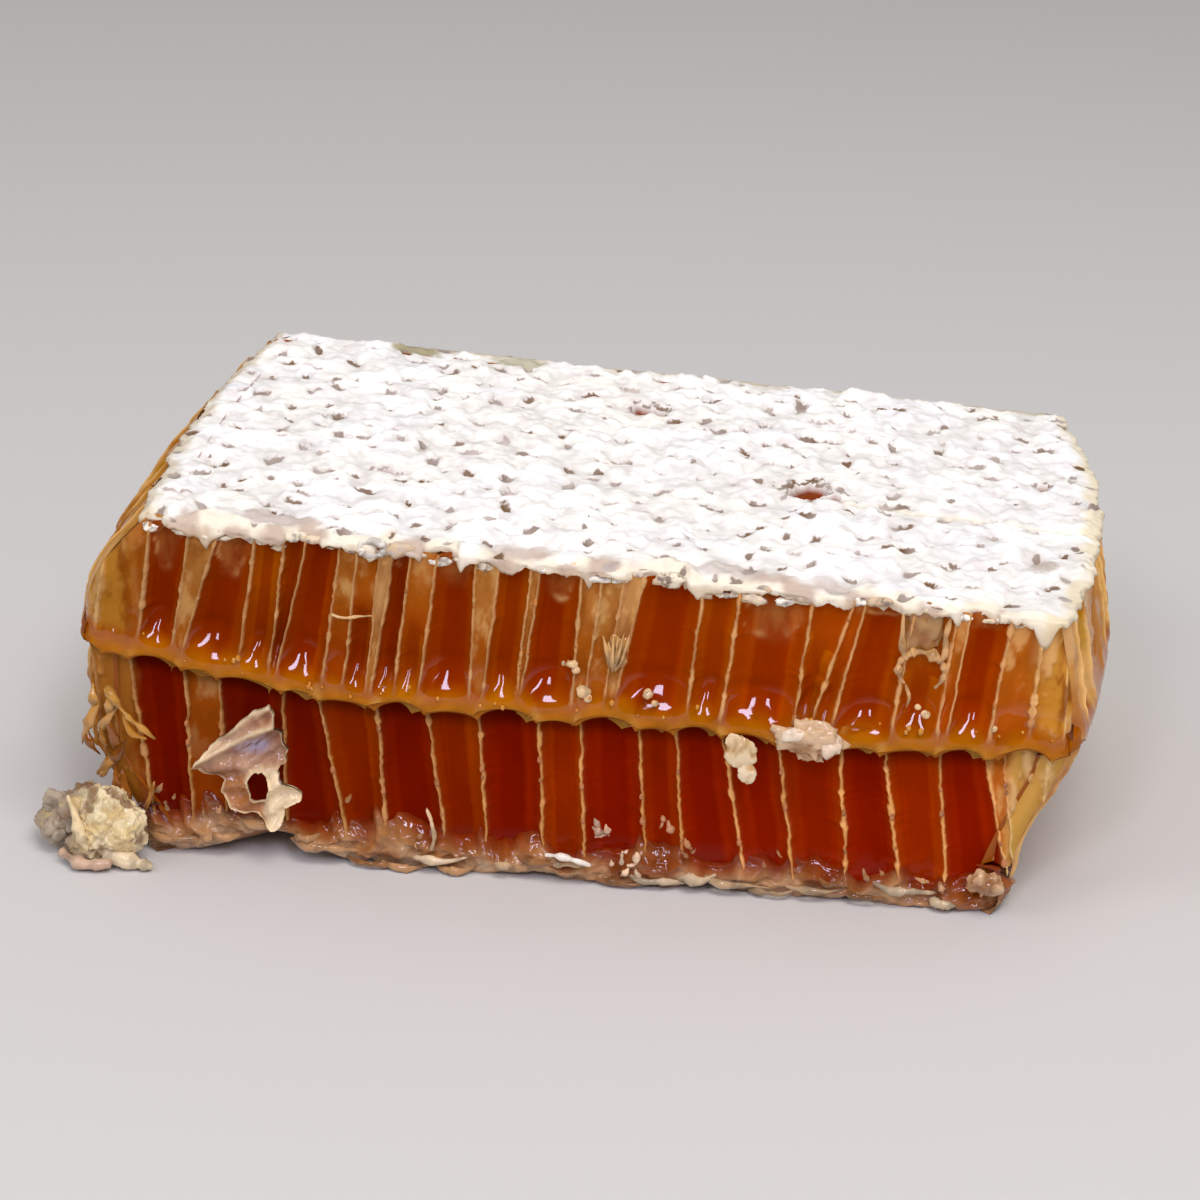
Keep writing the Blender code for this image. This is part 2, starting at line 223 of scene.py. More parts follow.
def material(name, rough_dry, rough_wet, spec, coat, mottle, bump_scale, bump=0.0, painted_glow=0.0):
    """Painted by the mesh's own tones, smoother and under a clear coat where it is wet; a painted glow gives
    off some of the tone as emission.
    """
    mat = bpy.data.materials.new(name)
    mat.use_nodes = True
    nt = mat.node_tree
    sh = nt.nodes["Principled BSDF"]
    tone = add_node(nt, "Attribute", attribute_name="tone")
    wet = add_node(nt, "Attribute", attribute_name="wet")
    coord = add_node(nt, "TexCoord")
    fine = add_node(nt, "TexNoise", {"Scale": bump_scale, "Detail": 3.0}, {"Vector": coord.outputs["Object"]})
    spread = {"From Min": 0.25, "From Max": 0.75, "To Min": 1.0 - mottle, "To Max": 1.0 + mottle}
    var = add_node(nt, "MapRange", spread, {"Value": fine.outputs["Fac"]})
    scaled = {0: tone.outputs["Color"], "Scale": var.outputs["Result"]}
    mul = add_node(nt, "VectorMath", links=scaled, operation="SCALE")
    nt.links.new(mul.outputs["Vector"], sh.inputs["Base Color"])
    for socket, dry, soaked in (("Roughness", rough_dry, rough_wet), ("Coat Weight", 0.0, coat)):
        level = add_node(nt, "MapRange", {"To Min": dry, "To Max": soaked}, {"Value": wet.outputs["Fac"]})
        nt.links.new(level.outputs["Result"], sh.inputs[socket])
    sh.inputs["Specular IOR Level"].default_value = spec
    sh.inputs["Coat Roughness"].default_value = rough_wet
    # painted glow: the tone is also given off as emission, standing in for light that comes through from
    # inside
    if painted_glow > 0.0:
        nt.links.new(mul.outputs["Vector"], sh.inputs["Emission Color"])
        sh.inputs["Emission Strength"].default_value = painted_glow
    if bump > 0.0:
        b = add_node(nt, "Bump", {"Distance": 0.0002, "Strength": bump}, {"Height": fine.outputs["Fac"]})
        nt.links.new(b.outputs["Normal"], sh.inputs["Normal"])
    return mat


def pitted(mat):
    """Adds small grey-brown pits where the pit value is above zero, with crisp uneven rims; their dark is
    partly their own colour and partly painted shade in each small hollow.
    """
    nt = mat.node_tree
    base_colour = nt.nodes["Principled BSDF"].inputs["Base Color"]
    pit = add_node(nt, "Attribute", attribute_name="pit")
    coord = add_node(nt, "TexCoord").outputs["Object"]
    ragged = add_node(nt, "TexNoise", {"Scale": 1500.0, "Detail": 2.0}, {"Vector": coord})
    sums = {0: ragged.outputs["Fac"], 2: pit.outputs["Fac"]}
    off = add_node(nt, "Math", {1: 1.3}, sums, operation="MULTIPLY_ADD")
    rim = {"From Min": 0.60, "From Max": 0.92}
    mask = add_node(nt, "MapRange", rim, {"Value": off.outputs["Value"]}, interpolation_type="SMOOTHSTEP")
    broad = add_node(nt, "TexNoise", {"Scale": 210.0, "Detail": 1.0}, {"Vector": coord})
    tones = add_node(nt, "ValToRGB")        # dark brown to pale grey-brown
    els = tones.color_ramp.elements
    els[0].position = 0.34
    els[0].color = (0.20, 0.115, 0.06, 1.0)
    els[1].position = 0.66
    els[1].color = (0.55, 0.47, 0.42, 1.0)
    els.new(0.48).color = (0.33, 0.26, 0.215, 1.0)
    nt.links.new(broad.outputs["Fac"], tones.inputs["Fac"])
    unpitted = base_colour.links[0].from_socket
    parts = {0: mask.outputs["Result"], 6: unpitted, 7: tones.outputs["Color"]}
    mixer = add_node(nt, "Mix", links=parts, data_type="RGBA")
    nt.links.new(mixer.outputs[2], base_colour)
    return mat


# the honey gives off a little of its own tone as emission: a painted glow, not a lamp
M_HONEY = material("comb_honey", 0.5, 0.05, spec=0.0, coat=1.0, mottle=0.03, bump_scale=500.0, painted_glow=0.12)
M_CAPS = pitted(material("white_cappings", 0.65, 0.25, spec=0.15, coat=0.5, mottle=0.02, bump_scale=1300.0,
                         bump=0.35))
M_BASE = material("wet_wax", 0.45, 0.06, spec=0.3, coat=1.0, mottle=0.1, bump_scale=900.0, bump=0.6)

# ---- tones --------------------------------------------------------------------
CREAM = lin(236, 205, 160)
HONEY_DEPTHS = (0.0, 0.18, 0.4, 0.9, 1.6, 2.7)       # mm of honey in front of the cell's back


def honey_tones(*colours):
    """Colour stops by the depth of the honey, from bare wax to the deepest."""
    return [(depth, lin(*colour)) for depth, colour in zip(HONEY_DEPTHS, colours)]


UP_STOPS = honey_tones((178, 134, 86), (150, 98, 44), (142, 74, 14), (134, 52, 2), (124, 42, 0), (116, 32, 0))
LOW_STOPS = honey_tones((188, 134, 74), (166, 100, 36), (148, 70, 10), (128, 40, 0), (118, 26, 0),
                        (108, 15, 0))
END_STOPS = honey_tones((222, 186, 122), (204, 158, 84), (188, 136, 54), (170, 112, 24), (152, 90, 10),
                        (138, 72, 4))

HONEY_GAIN = 1.35              # brightens the honey of the long faces

# ---- the cells along the front cut ----------------------------------------------
# Each entry: the wall's x at the layer's high and low level, its half width, then the honey's depth at the
# top and at the foot of the cell to its right.
UPPER_LEVELS = (20.0, 31.0)    # low and high level, mm above the board
LOWER_LEVELS = (4.0, 17.0)
UPPER = (
    (-39.0, -40.4, 0.20, 2.6, 2.6), (-35.4, -37.1, 0.12, 0.22, 0.35), (-33.1, -36.4, 0.10, 2.6, 2.6),
    (-29.2, -30.7, 0.14, 1.1, 1.8), (-26.4, -27.7, 0.12, 1.5, 2.2), (-24.6, -27.0, 0.04, 2.7, 2.7),
    (-21.3, -22.6, 0.10, 0.30, 0.9), (-19.6, -20.7, 0.12, 0.50, 2.2), (-17.5, -18.5, 0.14, 0.06, 0.2),
    (-16.3, -18.0, 0.10, 2.4, 2.6), (-14.7, -15.9, 0.10, 0.45, 1.4), (-12.2, -13.7, 0.12, 2.6, 2.6),
    (-8.6, -8.9, 0.10, 0.25, 0.6), (-6.4, -7.7, 0.13, 1.5, 2.0), (-3.5, -4.5, 0.12, 0.30, 0.35),
    (-2.7, -4.1, 0.06, 2.7, 2.7), (1.1, 0.6, 0.10, 0.35, 0.45), (3.0, 1.8, 0.14, 0.22, 0.5),
    (5.0, 3.6, 0.12, 0.10, 0.25), (6.7, 4.6, 0.12, 2.6, 2.6), (12.3, 11.3, 0.14, 1.3, 1.8),
    (15.7, 14.5, 0.16, 2.5, 2.5), (22.2, 21.2, 0.15, 0.9, 1.6), (26.0, 23.0, 0.16, 0.8, 1.4),
    (27.0, 24.9, 0.05, 2.5, 2.5), (31.4, 30.2, 0.13, 0.6, 1.5), (35.2, 34.3, 0.13, 0.40, 0.8),
    (36.5, 35.2, 0.06, 2.6, 2.6), (40.2, 39.0, 0.14, 0.40, 0.7), (43.0, 42.5, 0.22, 0.35, 0.5),
)
LOWER = (
    (-40.9, -39.3, 0.20, 2.6, 2.6), (-36.0, -35.5, 0.16, 0.45, 0.7), (-32.7, -32.2, 0.13, 2.6, 2.6),
    (-26.6, -26.5, 0.14, 2.4, 2.4), (-23.2, -20.9, 0.15, 1.3, 1.5), (-17.7, -16.9, 0.15, 2.5, 2.5),
    (-13.2, -11.3, 0.16, 1.3, 1.5), (-8.1, -7.4, 0.13, 2.7, 2.7), (-2.7, -1.9, 0.10, 1.4, 1.4),
    (1.2, 2.0, 0.10, 2.7, 2.7), (6.6, 7.7, 0.08, 1.7, 1.7), (10.2, 11.2, 0.08, 2.7, 2.7),
    (14.5, 16.8, 0.16, 2.4, 2.4), (19.5, 21.5, 0.17, 1.8, 1.9), (25.4, 26.6, 0.16, 2.5, 2.5),
    (29.3, 31.5, 0.16, 1.5, 1.5), (34.4, 35.8, 0.15, 2.5, 2.5), (38.6, 41.5, 0.18, 0.30, 0.3),
    (40.2, 42.2, 0.12, 0.35, 0.35),
)


def wall_at(wall, levels, z):
    """Where a wall of the front cut stands at height z."""
    low, high = levels
    return wall[1] + (wall[0] - wall[1]) * (z - low) / (high - low)


def columns_for(walls, fine):
    """Columns across a cut: wall index, share across the cell (None at a wall), offset in half widths."""
    cols = []
    n = len(walls)
    for i in range(n):
        for o in (-1.0, -0.6, 0.0, 0.6, 1.0):
            cols.append((i, None, o))
        if i < n - 1:
            wide = walls[i + 1][0] - walls[i][0]
            k = max(3, int(round(wide / fine)))
            for j in range(k + 1):
                t = (j + 0.5) / (k + 1)
                cols.append((i, t, 0.0))
    return cols


def cut_face(walls, z0, z1, zlo, zhi, recess, rows, fine, seed, ragged=0.12):
    """One cut face of a cell layer: honey panels set back between wax walls that stand proud."""
    cols = columns_for(walls, fine)
    n = len(walls)
    r = np.linspace(0.0, 1.0, rows)[:, None]
    idx = np.array([c[0] for c in cols])
    is_wall = np.array([c[1] is None for c in cols])
    share = np.array([0.0 if c[1] is None else c[1] for c in cols])
    off = np.array([c[2] for c in cols])
    A = np.array([w[0] for w in walls])
    B = np.array([w[1] for w in walls])
    H = np.array([w[2] for w in walls])
    D1 = np.array([w[3] for w in walls])
    D0 = np.array([w[4] for w in walls])
    nxt = np.minimum(idx + 1, n - 1)
    # nominal height of every row
    xm = 0.5 * (A + B)
    xcol = np.where(is_wall, xm[idx], xm[idx] * (1 - share) + xm[nxt] * share)
    lo = zlo(xcol)[None, :]
    hi = zhi(xcol)[None, :]
    z = lo + (hi - lo) * r

    def wall_x(i):
        t = (z - z0) / (z1 - z0)
        base = B[i] + (A[i] - B[i]) * t
        slow = ragged * fbm(i * 7.7, z * 0.45, seed, seed + 1, 3, 0.6) * 1.6
        quick = 0.5 * ragged * fbm(i * 3.3, z * 2.4, seed, seed + 3, 2)
        return base + (slow + quick)

    def wall_h(i):
        thin = 0.42 + 0.9 * fbm(i * 3.1 + 40.0, z * 0.7, 1.0, seed + 5, 4, 0.65)
        thick = smooth(0.22, 0.5, fbm(i * 5.7, z * 0.9, 4.0, seed + 7, 3))
        h = H[i] * (thin + 0.9 * thick)
        return np.maximum(h, 0.03)

    xa, xb = wall_x(idx), wall_x(nxt)
    ha, hb = wall_h(idx), wall_h(nxt)
    room = np.maximum(xb - hb - xa - ha, 0.05)
    x = np.where(is_wall, xa + off * ha, xa + ha + room * share)
    # honey's depth behind the cut, by the shape of a half cell
    depth = np.where(is_wall, 0.0, D0[idx] + (D1[idx] - D0[idx]) * smooth(0.25, 0.75, r))
    t = share[None, :]
    prof = smooth(0.0, 0.07, t) * (1.0 - smooth(0.93, 1.0, t))
    optical = depth * (0.6 + 0.4 * prof)
    open_cell = smooth(0.5, 1.6, depth)
    bowl = 1.0 - (2.0 * np.clip(t, 0.0, 1.0) - 1.0) ** 2
    set_back = (open_cell * 1.2 * bowl + (1.0 - open_cell) * 0.16 * bowl) * (0.8 + 0.2 * np.sin(math.pi * r))
    proud = (0.20 + 0.42 * fbm(idx * 5.3, z * 0.8, 2.0, seed + 9, 3, 0.6)) * np.clip(H[idx] / 0.12, 0.2, 1.3)
    proud = 0.8 * np.clip(proud, -0.05, 0.6)
    tip = 1.0 - 0.55 * np.abs(off)
    inward = recess + np.where(is_wall, -proud * tip, 0.18 + set_back)
    inward = inward + 0.06 * fbm(x * 0.5, z * 0.25, seed, seed + 13, 2)
    return dict(x=x, z=z, inward=inward, optical=optical, is_wall=is_wall, idx=idx, t=t, depth=depth, H=H)


def films(f, col, seed):
    """Where a cell's white cover was cut through, its pale edge hangs as a rounded film over the honey."""
    x, z = f["x"], f["z"]
    k = f["idx"]
    drop = top_plane(x) - 0.9 - z
    pick = chance(k, 1, seed)
    tall = 1.2 + 3.6 * chance(k, 2, seed) ** 1.5
    u = (f["t"] - 0.5) * 2.0 / (0.85 + 0.1 * noise(k * 3.0, z * 0.6, 0.0, seed + 1))
    u = u + 0.5 * fbm(x * 0.7, z * 0.7, 2.0, seed + 6, 3)
    v = drop / (tall * (1.0 + 0.35 * fbm(x * 0.5, z * 0.2, 0.0, seed + 2, 3)))
    d = np.sqrt(np.abs(u) ** 2.6 + np.clip(v, 0.0, 9.0) ** 2.2)
    use = np.where(f["is_wall"], 0.0, 1.0) * np.where(pick > 0.36, 1.0, 0.0)
    streak = np.clip(0.5 + 1.3 * fbm(x * 1.1, z * 0.35, 3.0, seed + 3, 4, 0.6), 0.0, 1.0)
    inside = use * smooth(1.3, 0.3, d) * (0.2 + 0.8 * streak)
    edge_line = (use * np.exp(-((d - 0.95) / 0.12) ** 2)
                 * np.clip(1.6 * fbm(x * 0.8, z * 0.6, 5.0, seed + 4, 3), 0.0, 1.0))
    f["inward"] = f["inward"] - 0.12 * inside
    col = tint(col, (180, 118, 58), inside * 0.62)
    return tint(col, (214, 164, 100), 0.7 * edge_line)


def paint(f, stops, seed, gain_fn, wall_tone, wall_cover):
    """Colour of a cut face from the honey's depth, with pale wax on the walls' edges."""
    x, z = f["x"], f["z"]
    opt = (f["optical"] * (1.0 + 0.10 * fbm(x * 0.35, z * 0.12, 3.0, seed, 2))
           + 0.05 * fbm(x * 1.2, z * 0.3, 5.0, seed + 2, 2))
    col = ramp(np.maximum(opt, 0.0), stops)
    # painted highlight: a faint pale line along the corner where a side wall meets the back wall of the half
    # cell
    for at, w, s in ((0.25, 0.035, 0.10), (0.78, 0.04, 0.16)):
        line = (np.where(f["depth"] > 1.0, np.exp(-((f["t"] - at) / w) ** 2), 0.0)
                * (0.6 + 0.4 * noise(f["idx"] * 9.0, z * 0.4, 2.0, seed + 4)))
        col = col * (1.0 + s * 1.6 * line[..., None] * np.array([1.0, 1.3, 1.0]))
    # painted light: the slanted side walls of the half cell are painted paler, partly for the thinner honey
    # over them and partly for how they face the light
    cut = 0.62 + 0.24 * chance(f["idx"], 5, seed)
    side = np.where(f["depth"] > 1.0, smooth(0.0, 0.035, f["t"] - cut), 0.0)
    col = mix(col, col * np.array([1.20, 1.75, 1.3]), side)
    # painted light: the side wall on the other side is painted paler too
    cut2 = 0.12 + 0.2 * chance(f["idx"], 6, seed)
    side2 = np.where(f["depth"] > 0.9, 1.0 - smooth(0.0, 0.035, f["t"] - cut2), 0.0)
    col = mix(col, col * np.array([1.14, 1.5, 1.3]), side2)
    bold = 0.22 + 0.78 * np.clip((f["H"][f["idx"]] - 0.06) / 0.10, 0.0, 1.0)
    edge = (f.get("fade", 1.0) * np.where(f["is_wall"], 1.0, 0.0) * bold
            * np.clip(0.62 + 1.7 * fbm(f["idx"] * 4.4, z * 0.85, 7.0, seed + 6, 4, 0.65), 0.0, 1.0))
    # waxy haze beside a wall, on its right
    haze = np.where(f["is_wall"], 0.0, np.exp(-f["t"] / 0.035) + 0.4 * np.exp(-(1.0 - f["t"]) / 0.03)) * 0.16
    haze = haze * np.clip(0.5 + 1.1 * fbm(f["idx"] * 2.2, z * 0.35, 9.0, seed + 8, 3), 0.0, 1.0)
    col = mix(col, wall_tone * 0.55, haze)
    edge = edge * np.clip(0.75 + 0.9 * fbm(f["idx"] * 1.4, z * 0.22, 17.0, seed + 16, 3), 0.1, 1.0)
    col = mix(col, wall_tone, np.clip(edge * wall_cover, 0.0, 1.0))
    # thin wax cut lengthwise is streaked and blotched
    thin = np.where(f["is_wall"], 0.0, smooth(0.75, 0.3, f["depth"]))
    blot = fbm(x * 0.9, z * 0.35, 19.0, seed + 18, 4, 0.6)
    col = tint(col, (190, 150, 92), 0.55 * thin * smooth(0.05, 0.4, blot))
    col = tint(col, (112, 52, 8), 0.5 * thin * smooth(0.0, -0.35, blot))
    col = col * (1.0 + 0.10 * fbm(x * 0.5, z * 0.18, 11.0, seed + 10, 3)
                 + 0.05 * fbm(x * 2.2, z * 0.5, 13.0, seed + 12, 3))[..., None]
    return col * gain_fn(x, z)[..., None]


def place_front(f, y_face, sign):
    """Points of a long face, rounded off at both ends."""
    x = f["x"]
    z = f["z"]
    xl = left_x(y_face, z)
    xr = right_x(y_face, z)
    xx = np.clip(x, xl + 0.35, xr - 0.35)
    rim = np.minimum(x - xl, xr - x)
    rounded = 1.7 * (1.0 - np.clip(rim, 0.0, 1.9) / 1.9) ** 2
    y = y_face + sign * (f["inward"] + rounded)
    return np.stack([xx, y, z], -1)


def lattice_walls(turn, phase, x_from, x_to, lean, seed):
    """Walls where a turned lattice of cells meets the cut, as entries like those of UPPER."""
    c, s = math.cos(math.radians(turn)), math.sin(math.radians(turn))
    found = []
    for i in range(-12, 13):
        for j in range(-3, 4):
            cx = i * 1.5 * SIDE + phase[0]
            cy = (j + 0.5 * (i % 2)) * CELL + phase[1]
            for k in range(3):
                e = []
                for q in (k, k + 1):
                    px = cx + SIDE * math.cos(math.radians(60.0 * q))
                    py = cy + SIDE * math.sin(math.radians(60.0 * q))
                    e.append((c * px - s * py, s * px + c * py))
                if e[0][1] * e[1][1] < 0.0:
                    u = e[0][1] / (e[0][1] - e[1][1])
                    found.append(e[0][0] + u * (e[1][0] - e[0][0]))
    found.sort()
    xs = []
    for v in found:
        if x_from < v < x_to and (not xs or v - xs[-1] > 1.9):
            xs.append(v)
    out = []
    for a, b in zip(xs, xs[1:] + [xs[-1] + 3.0]):
        wide = b - a
        d = 2.6 if wide > 4.6 else (1.3 if wide > 3.8 else 0.45)
        h = 0.10 + 0.06 * abs(math.sin(a * 3.3 + seed))
        out.append((a + lean * 5.5, a - lean * 5.5, h, d, d * 1.1))
    return tuple(out)


def end_walls(y_from, y_to, depth, seed):
    """Walls on a short end: one every cell width."""
    out = []
    n = int((y_to - y_from) / CELL)
    for k in range(n + 1):
        y = y_from + (k + 0.5) * (y_to - y_from) / (n + 1) + 0.35 * math.sin(k * 2.7 + seed)
        d = depth * (0.75 + 0.35 * math.sin(k * 1.9 + seed * 2.0))
        out.append((y, y + 0.25 * math.sin(k * 4.1 + seed), 0.12 + 0.05 * math.sin(k * 3.3), d, d * 1.2))
    return tuple(out)


def place_end(f, right, tuck):
    """Points of a short end, rounded off at its corners."""
    y = f["x"]
    z = f["z"]
    yy = np.clip(y, YF + tuck, YB - tuck)
    rim = np.minimum(y - YF, YB - y) - tuck
    rounded = 2.2 * (1.0 - np.clip(rim, 0.0, 1.8) / 1.8) ** 2
    if right:
        x = right_x(yy, z) - f["inward"] - rounded
    else:
        x = left_x(yy, z) + f["inward"] + rounded
    return np.stack([x, yy, z], -1)


STEP_MID = 0.27     # mm between the midrib's columns
ARCH_FEET = [-47.5, -43.6] + [w[0] for w in LOWER] + [44.6, 48.5]


def arches(x):
    """Rounded arches in the midrib's lower edge, one over each cell below."""
    out = np.zeros_like(x)
    for k, (a, b) in enumerate(zip(ARCH_FEET[:-1], ARCH_FEET[1:])):
        m = (x >= a) & (x < b)
        t = np.clip((x - a) / (b - a), 0.0, 1.0)
        high = (1.15 + 0.35 * math.sin(k * 2.9 + 0.6)) * min(1.0, (b - a) / 4.6)
        out = np.where(m, high * np.sin(math.pi * t) ** 0.42, out)
    return out


def arch_end(y):
    """The same arches carried round the short ends."""
    return arches(-40.0 + np.clip((y - YF) / (YB - YF), 0.0, 1.0) * DEEP)


R_UP = 96     # rows up the front cut
R_END = 56    # rows up the far face and the ends
FINE = 0.3  # mm between columns across a cell


def upper_lo(x):
    return mid_low(x) + 0.05 + arches(x)


def upper_hi(x):
    return top_plane(x) - 0.85


def lower_lo(x):
    return 1.6 + 1.7 * bell(x, -28.0, 9.5)


def lower_hi(x):
    return mid_low(x) + 1.4


def front_gain(x, z):
    return 0.92 + 0.0045 * x


def foot_shape(f, low, arch, gain=1.0):
    """Honey runs out over the midrib at the foot of each cell: set back above, proud at the arched rim."""
    h = f["z"] - low
    he = h - arch
    open_cell = smooth(0.5, 1.6, f["depth"])
    lift = 0.5 * (noise(f["idx"] * 5.7, 1.0, 0.0, 811) - 0.5)
    # a slope of honey from the rim back to the cell's own depth
    slope = smooth(0.0, 1.0, (h - 2.0 - lift) / 4.2)
    slope = np.where(f["is_wall"], smooth(0.0, 1.0, (h - 2.0) / 3.6), slope)
    out = (-0.50 + 0.12 * fbm(f["x"] * 0.35, h * 0.4, 2.0, 821, 3)) * gain
    f["inward"] = f["inward"] * slope + out * (1.0 - slope)
    bowl = np.where(f["is_wall"], 0.0, 1.0 - (2.0 * np.clip(f["t"], 0.0, 1.0) - 1.0) ** 2)
    f["inward"] = f["inward"] + 0.38 * open_cell * bowl * bell(h, 4.2, 2.6)
    f["inward"] = f["inward"] + 0.04 * fbm(f["x"] * 1.1, h * 0.8, 4.0, 825, 3) * (1.0 - smooth(5.0, 6.5, h))
    # the rim turns under
    f["inward"] = f["inward"] + 0.45 * np.clip((0.42 - he) / 0.42, 0.0, 1.0) ** 2
    f["h"] = h
    f["he"] = he
    return f


def amber_foot(f, col, seed):
    """Amber where honey lies thin over the midrib, a pale rim below, knots where lower walls meet it, and
    painted shade where the rim turns under.
    """
    h, he = f["h"], f["he"]
    n1 = fbm(f["x"] * 0.35, h * 0.45, 2.0, seed, 3)
    edge = he + 0.7 * n1
    amber = ramp(edge, [(0.0, lin(166, 98, 12)), (0.7, lin(164, 94, 5)), (1.6, lin(156, 80, 2)),
                        (2.6, lin(142, 62, 1)), (3.6, lin(128, 46, 0))])
    amber = amber * (1.0 + 0.22 * fbm(f["x"] * 0.8, h * 0.9, 4.0, seed + 3, 3))[..., None]
    share = smooth(3.6, 1.4, edge)
    col = mix(col, amber, share)
    near = np.min(np.abs(f["x"][..., None] - np.array([w[0] for w in LOWER])), axis=-1)
    knot = (np.exp(-(near / (0.25 + 0.25 * np.clip(1.6 - he, 0.0, 1.6))) ** 2) * smooth(2.4, 0.6, he)
            * np.clip(0.5 + 1.1 * fbm(f["x"] * 0.9, h * 0.8, 6.0, seed + 7, 3), 0.0, 1.0))
    col = tint(col, (206, 156, 70), 0.55 * knot)
    rim = (smooth(0.42, 0.12, he + 0.25 * fbm(f["x"] * 1.3, 0.0, 1.0, seed + 9, 3))
           * np.clip(0.65 + 0.8 * fbm(f["x"] * 0.6, 0.0, 3.0, seed + 11, 3), 0.15, 1.0))
    col = tint(col, (206, 146, 54), 0.8 * rim)
    # painted shade: darker where the rim turns under
    return mix(col, col * 0.4, smooth(0.10, -0.05, he))


def upper_tones(face, col):
    """Yellow amber where the honey is thin at both ends, the films and the amber foot; also how wet."""
    x, z = face["x"], face["z"]
    ends = np.maximum(smooth(-39.5, -42.0, x), smooth(41.5, 44.0, x))
    shred = fbm(x * 0.8, z * 0.22, 1.0, 833, 4, 0.6)
    yellow = tint(ramp(face["optical"], END_STOPS), (214, 176, 120), 0.8 * smooth(0.10, 0.32, shred))
    yellow = tint(yellow, (128, 62, 4), 0.8 * smooth(-0.05, -0.3, shred))
    yellow = yellow * (1.0 - 0.32 * smooth(0.0, -10.0, x))[..., None] * np.array([1.0, 0.86, 0.72])
    face["inward"] = face["inward"] - 0.35 * ends * smooth(0.10, 0.32, shred)
    col = mix(col, yellow, ends * 0.95)
    col = amber_foot(face, films(face, col, 861), 841)
    panel = np.where(face["is_wall"], 0.25, 0.0)
    wet = panel + (0.98 - panel) * smooth(5.7, 4.3, face["h"] + 0.8 * fbm(x * 0.5, 1.0, 0.0, 847, 2))
    return col, wet * (0.25 + 0.75 * smooth(0.5, 1.7, face["he"]))


def lower_tones(face, col):
    """Painted shadow under the midrib, with torn brown wax at the left end and paler wax at the right; also
    how wet.
    """
    x, z = face["x"], face["z"]
    # painted shadow: the lower cells darker just under the midrib's overhang
    col = col * (1.0 - 0.45 * smooth(1.8, -0.2, mid_low(x) - z))[..., None]
    ends = np.maximum(smooth(-40.2, -41.6, x + 0.8 * fbm(z * 0.4, 1.0, 0.0, 839, 2)), smooth(40.6, 41.6, x))
    yellow = ramp(face["optical"] * 0.8, END_STOPS)
    shred = fbm(x * 0.8, z * 0.25, 1.0, 837, 4, 0.6)
    left_part = smooth(0.0, -10.0, x)
    col = col * (1.0 - 0.12 * left_part)[..., None]
    torn_tone = mix(lin(206, 166, 112), lin(176, 120, 62), left_part)
    yellow = tint(yellow, (140, 74, 16), 0.75 * left_part)
    yellow = mix(yellow, torn_tone, 0.8 * smooth(0.08, 0.3, shred))
    face["inward"] = face["inward"] - 0.5 * ends * smooth(0.08, 0.3, shred)
    col = mix(col, yellow, ends * 0.95)
    return col, np.where(face["is_wall"], 0.25, 0.0) + 0.3 * smooth(5.0, 3.0, z)


class Layer:
    """What the upper and the lower layer of cells have of their own."""

    def __init__(self, up):
        self.up = up
        self.kind = "upper" if up else "lower"
        self.node = self.kind + "_cells"
        self.walls = UPPER if up else LOWER
        self.levels = UPPER_LEVELS if up else LOWER_LEVELS
        self.lo, self.hi = (upper_lo, upper_hi) if up else (lower_lo, lower_hi)
        self.stops = UP_STOPS if up else LOW_STOPS
        self.recess = 0.0 if up else 0.85

    def show(self, tag, points, flip, col, wet):
        quads = grid_quads(*points.shape[:2], flip=flip)
        build(self.kind + "_" + tag, points, quads, M_HONEY, self.node, col, wet)


def long_walls(layer):
    """Walls of the front cut with its end posts, and of the hidden far face, which follow the lattice."""
    post_left, post_right = (-47.5, -47.5, 0.2, 0.5, 0.5), (49.0, 49.0, 0.1, 0.4, 0.4)
    if layer.up:
        left, right = (-43.2, -44.4, 0.2, 0.45, 0.6), (45.4, 45.6, 0.15, 0.4, 0.4)
        far = lattice_walls(UPPER_TURN, (1.9, 3.4), -42.5, 41.5, 0.11, 5)
    else:
        left, right = (-44.6, -43.0, 0.2, 0.45, 0.6), (44.5, 44.4, 0.16, 0.35, 0.35)
        far = lattice_walls(LOWER_TURN, (4.4, 1.0), -42.5, 41.5, -0.10, 5)
    front = (post_left, left) + layer.walls + (right, post_right)
    return front, (post_left,) + far + ((46.0, 46.0, 0.15, 0.4, 0.4), (49.5, 49.5, 0.1, 0.4, 0.4))


def long_faces(layer):
    """The front cut and the far face."""
    up = layer.up
    front_walls, far_walls = long_walls(layer)
    wall_tone = lin(178, 106, 44) if up else lin(198, 142, 88)
    spans = (*layer.levels, layer.lo, layer.hi, layer.recess)
    front = cut_face(front_walls, *spans, R_UP, FINE, 3 if up else 23, 0.10 if up else 0.17)
    far = cut_face(far_walls, *spans, R_END, FINE * 1.3, 61 if up else 83)
    for tag, face, seed, y_face, sign in (("front", front, 31 if up else 51, YF, 1.0),
                                          ("far", far, 71, YB, -1.0)):
        if up:
            face = foot_shape(face, mid_low(face["x"]), arches(face["x"]))
            face["fade"] = smooth(1.6, 5.2, face["h"])
        col = paint(face, layer.stops, seed, front_gain, wall_tone, 0.38 if up else 0.9) * HONEY_GAIN
        col, wet = (upper_tones if up else lower_tones)(face, col)
        layer.show(tag, place_front(face, y_face, sign), sign < 0.0, col, np.clip(wet, 0, 1))


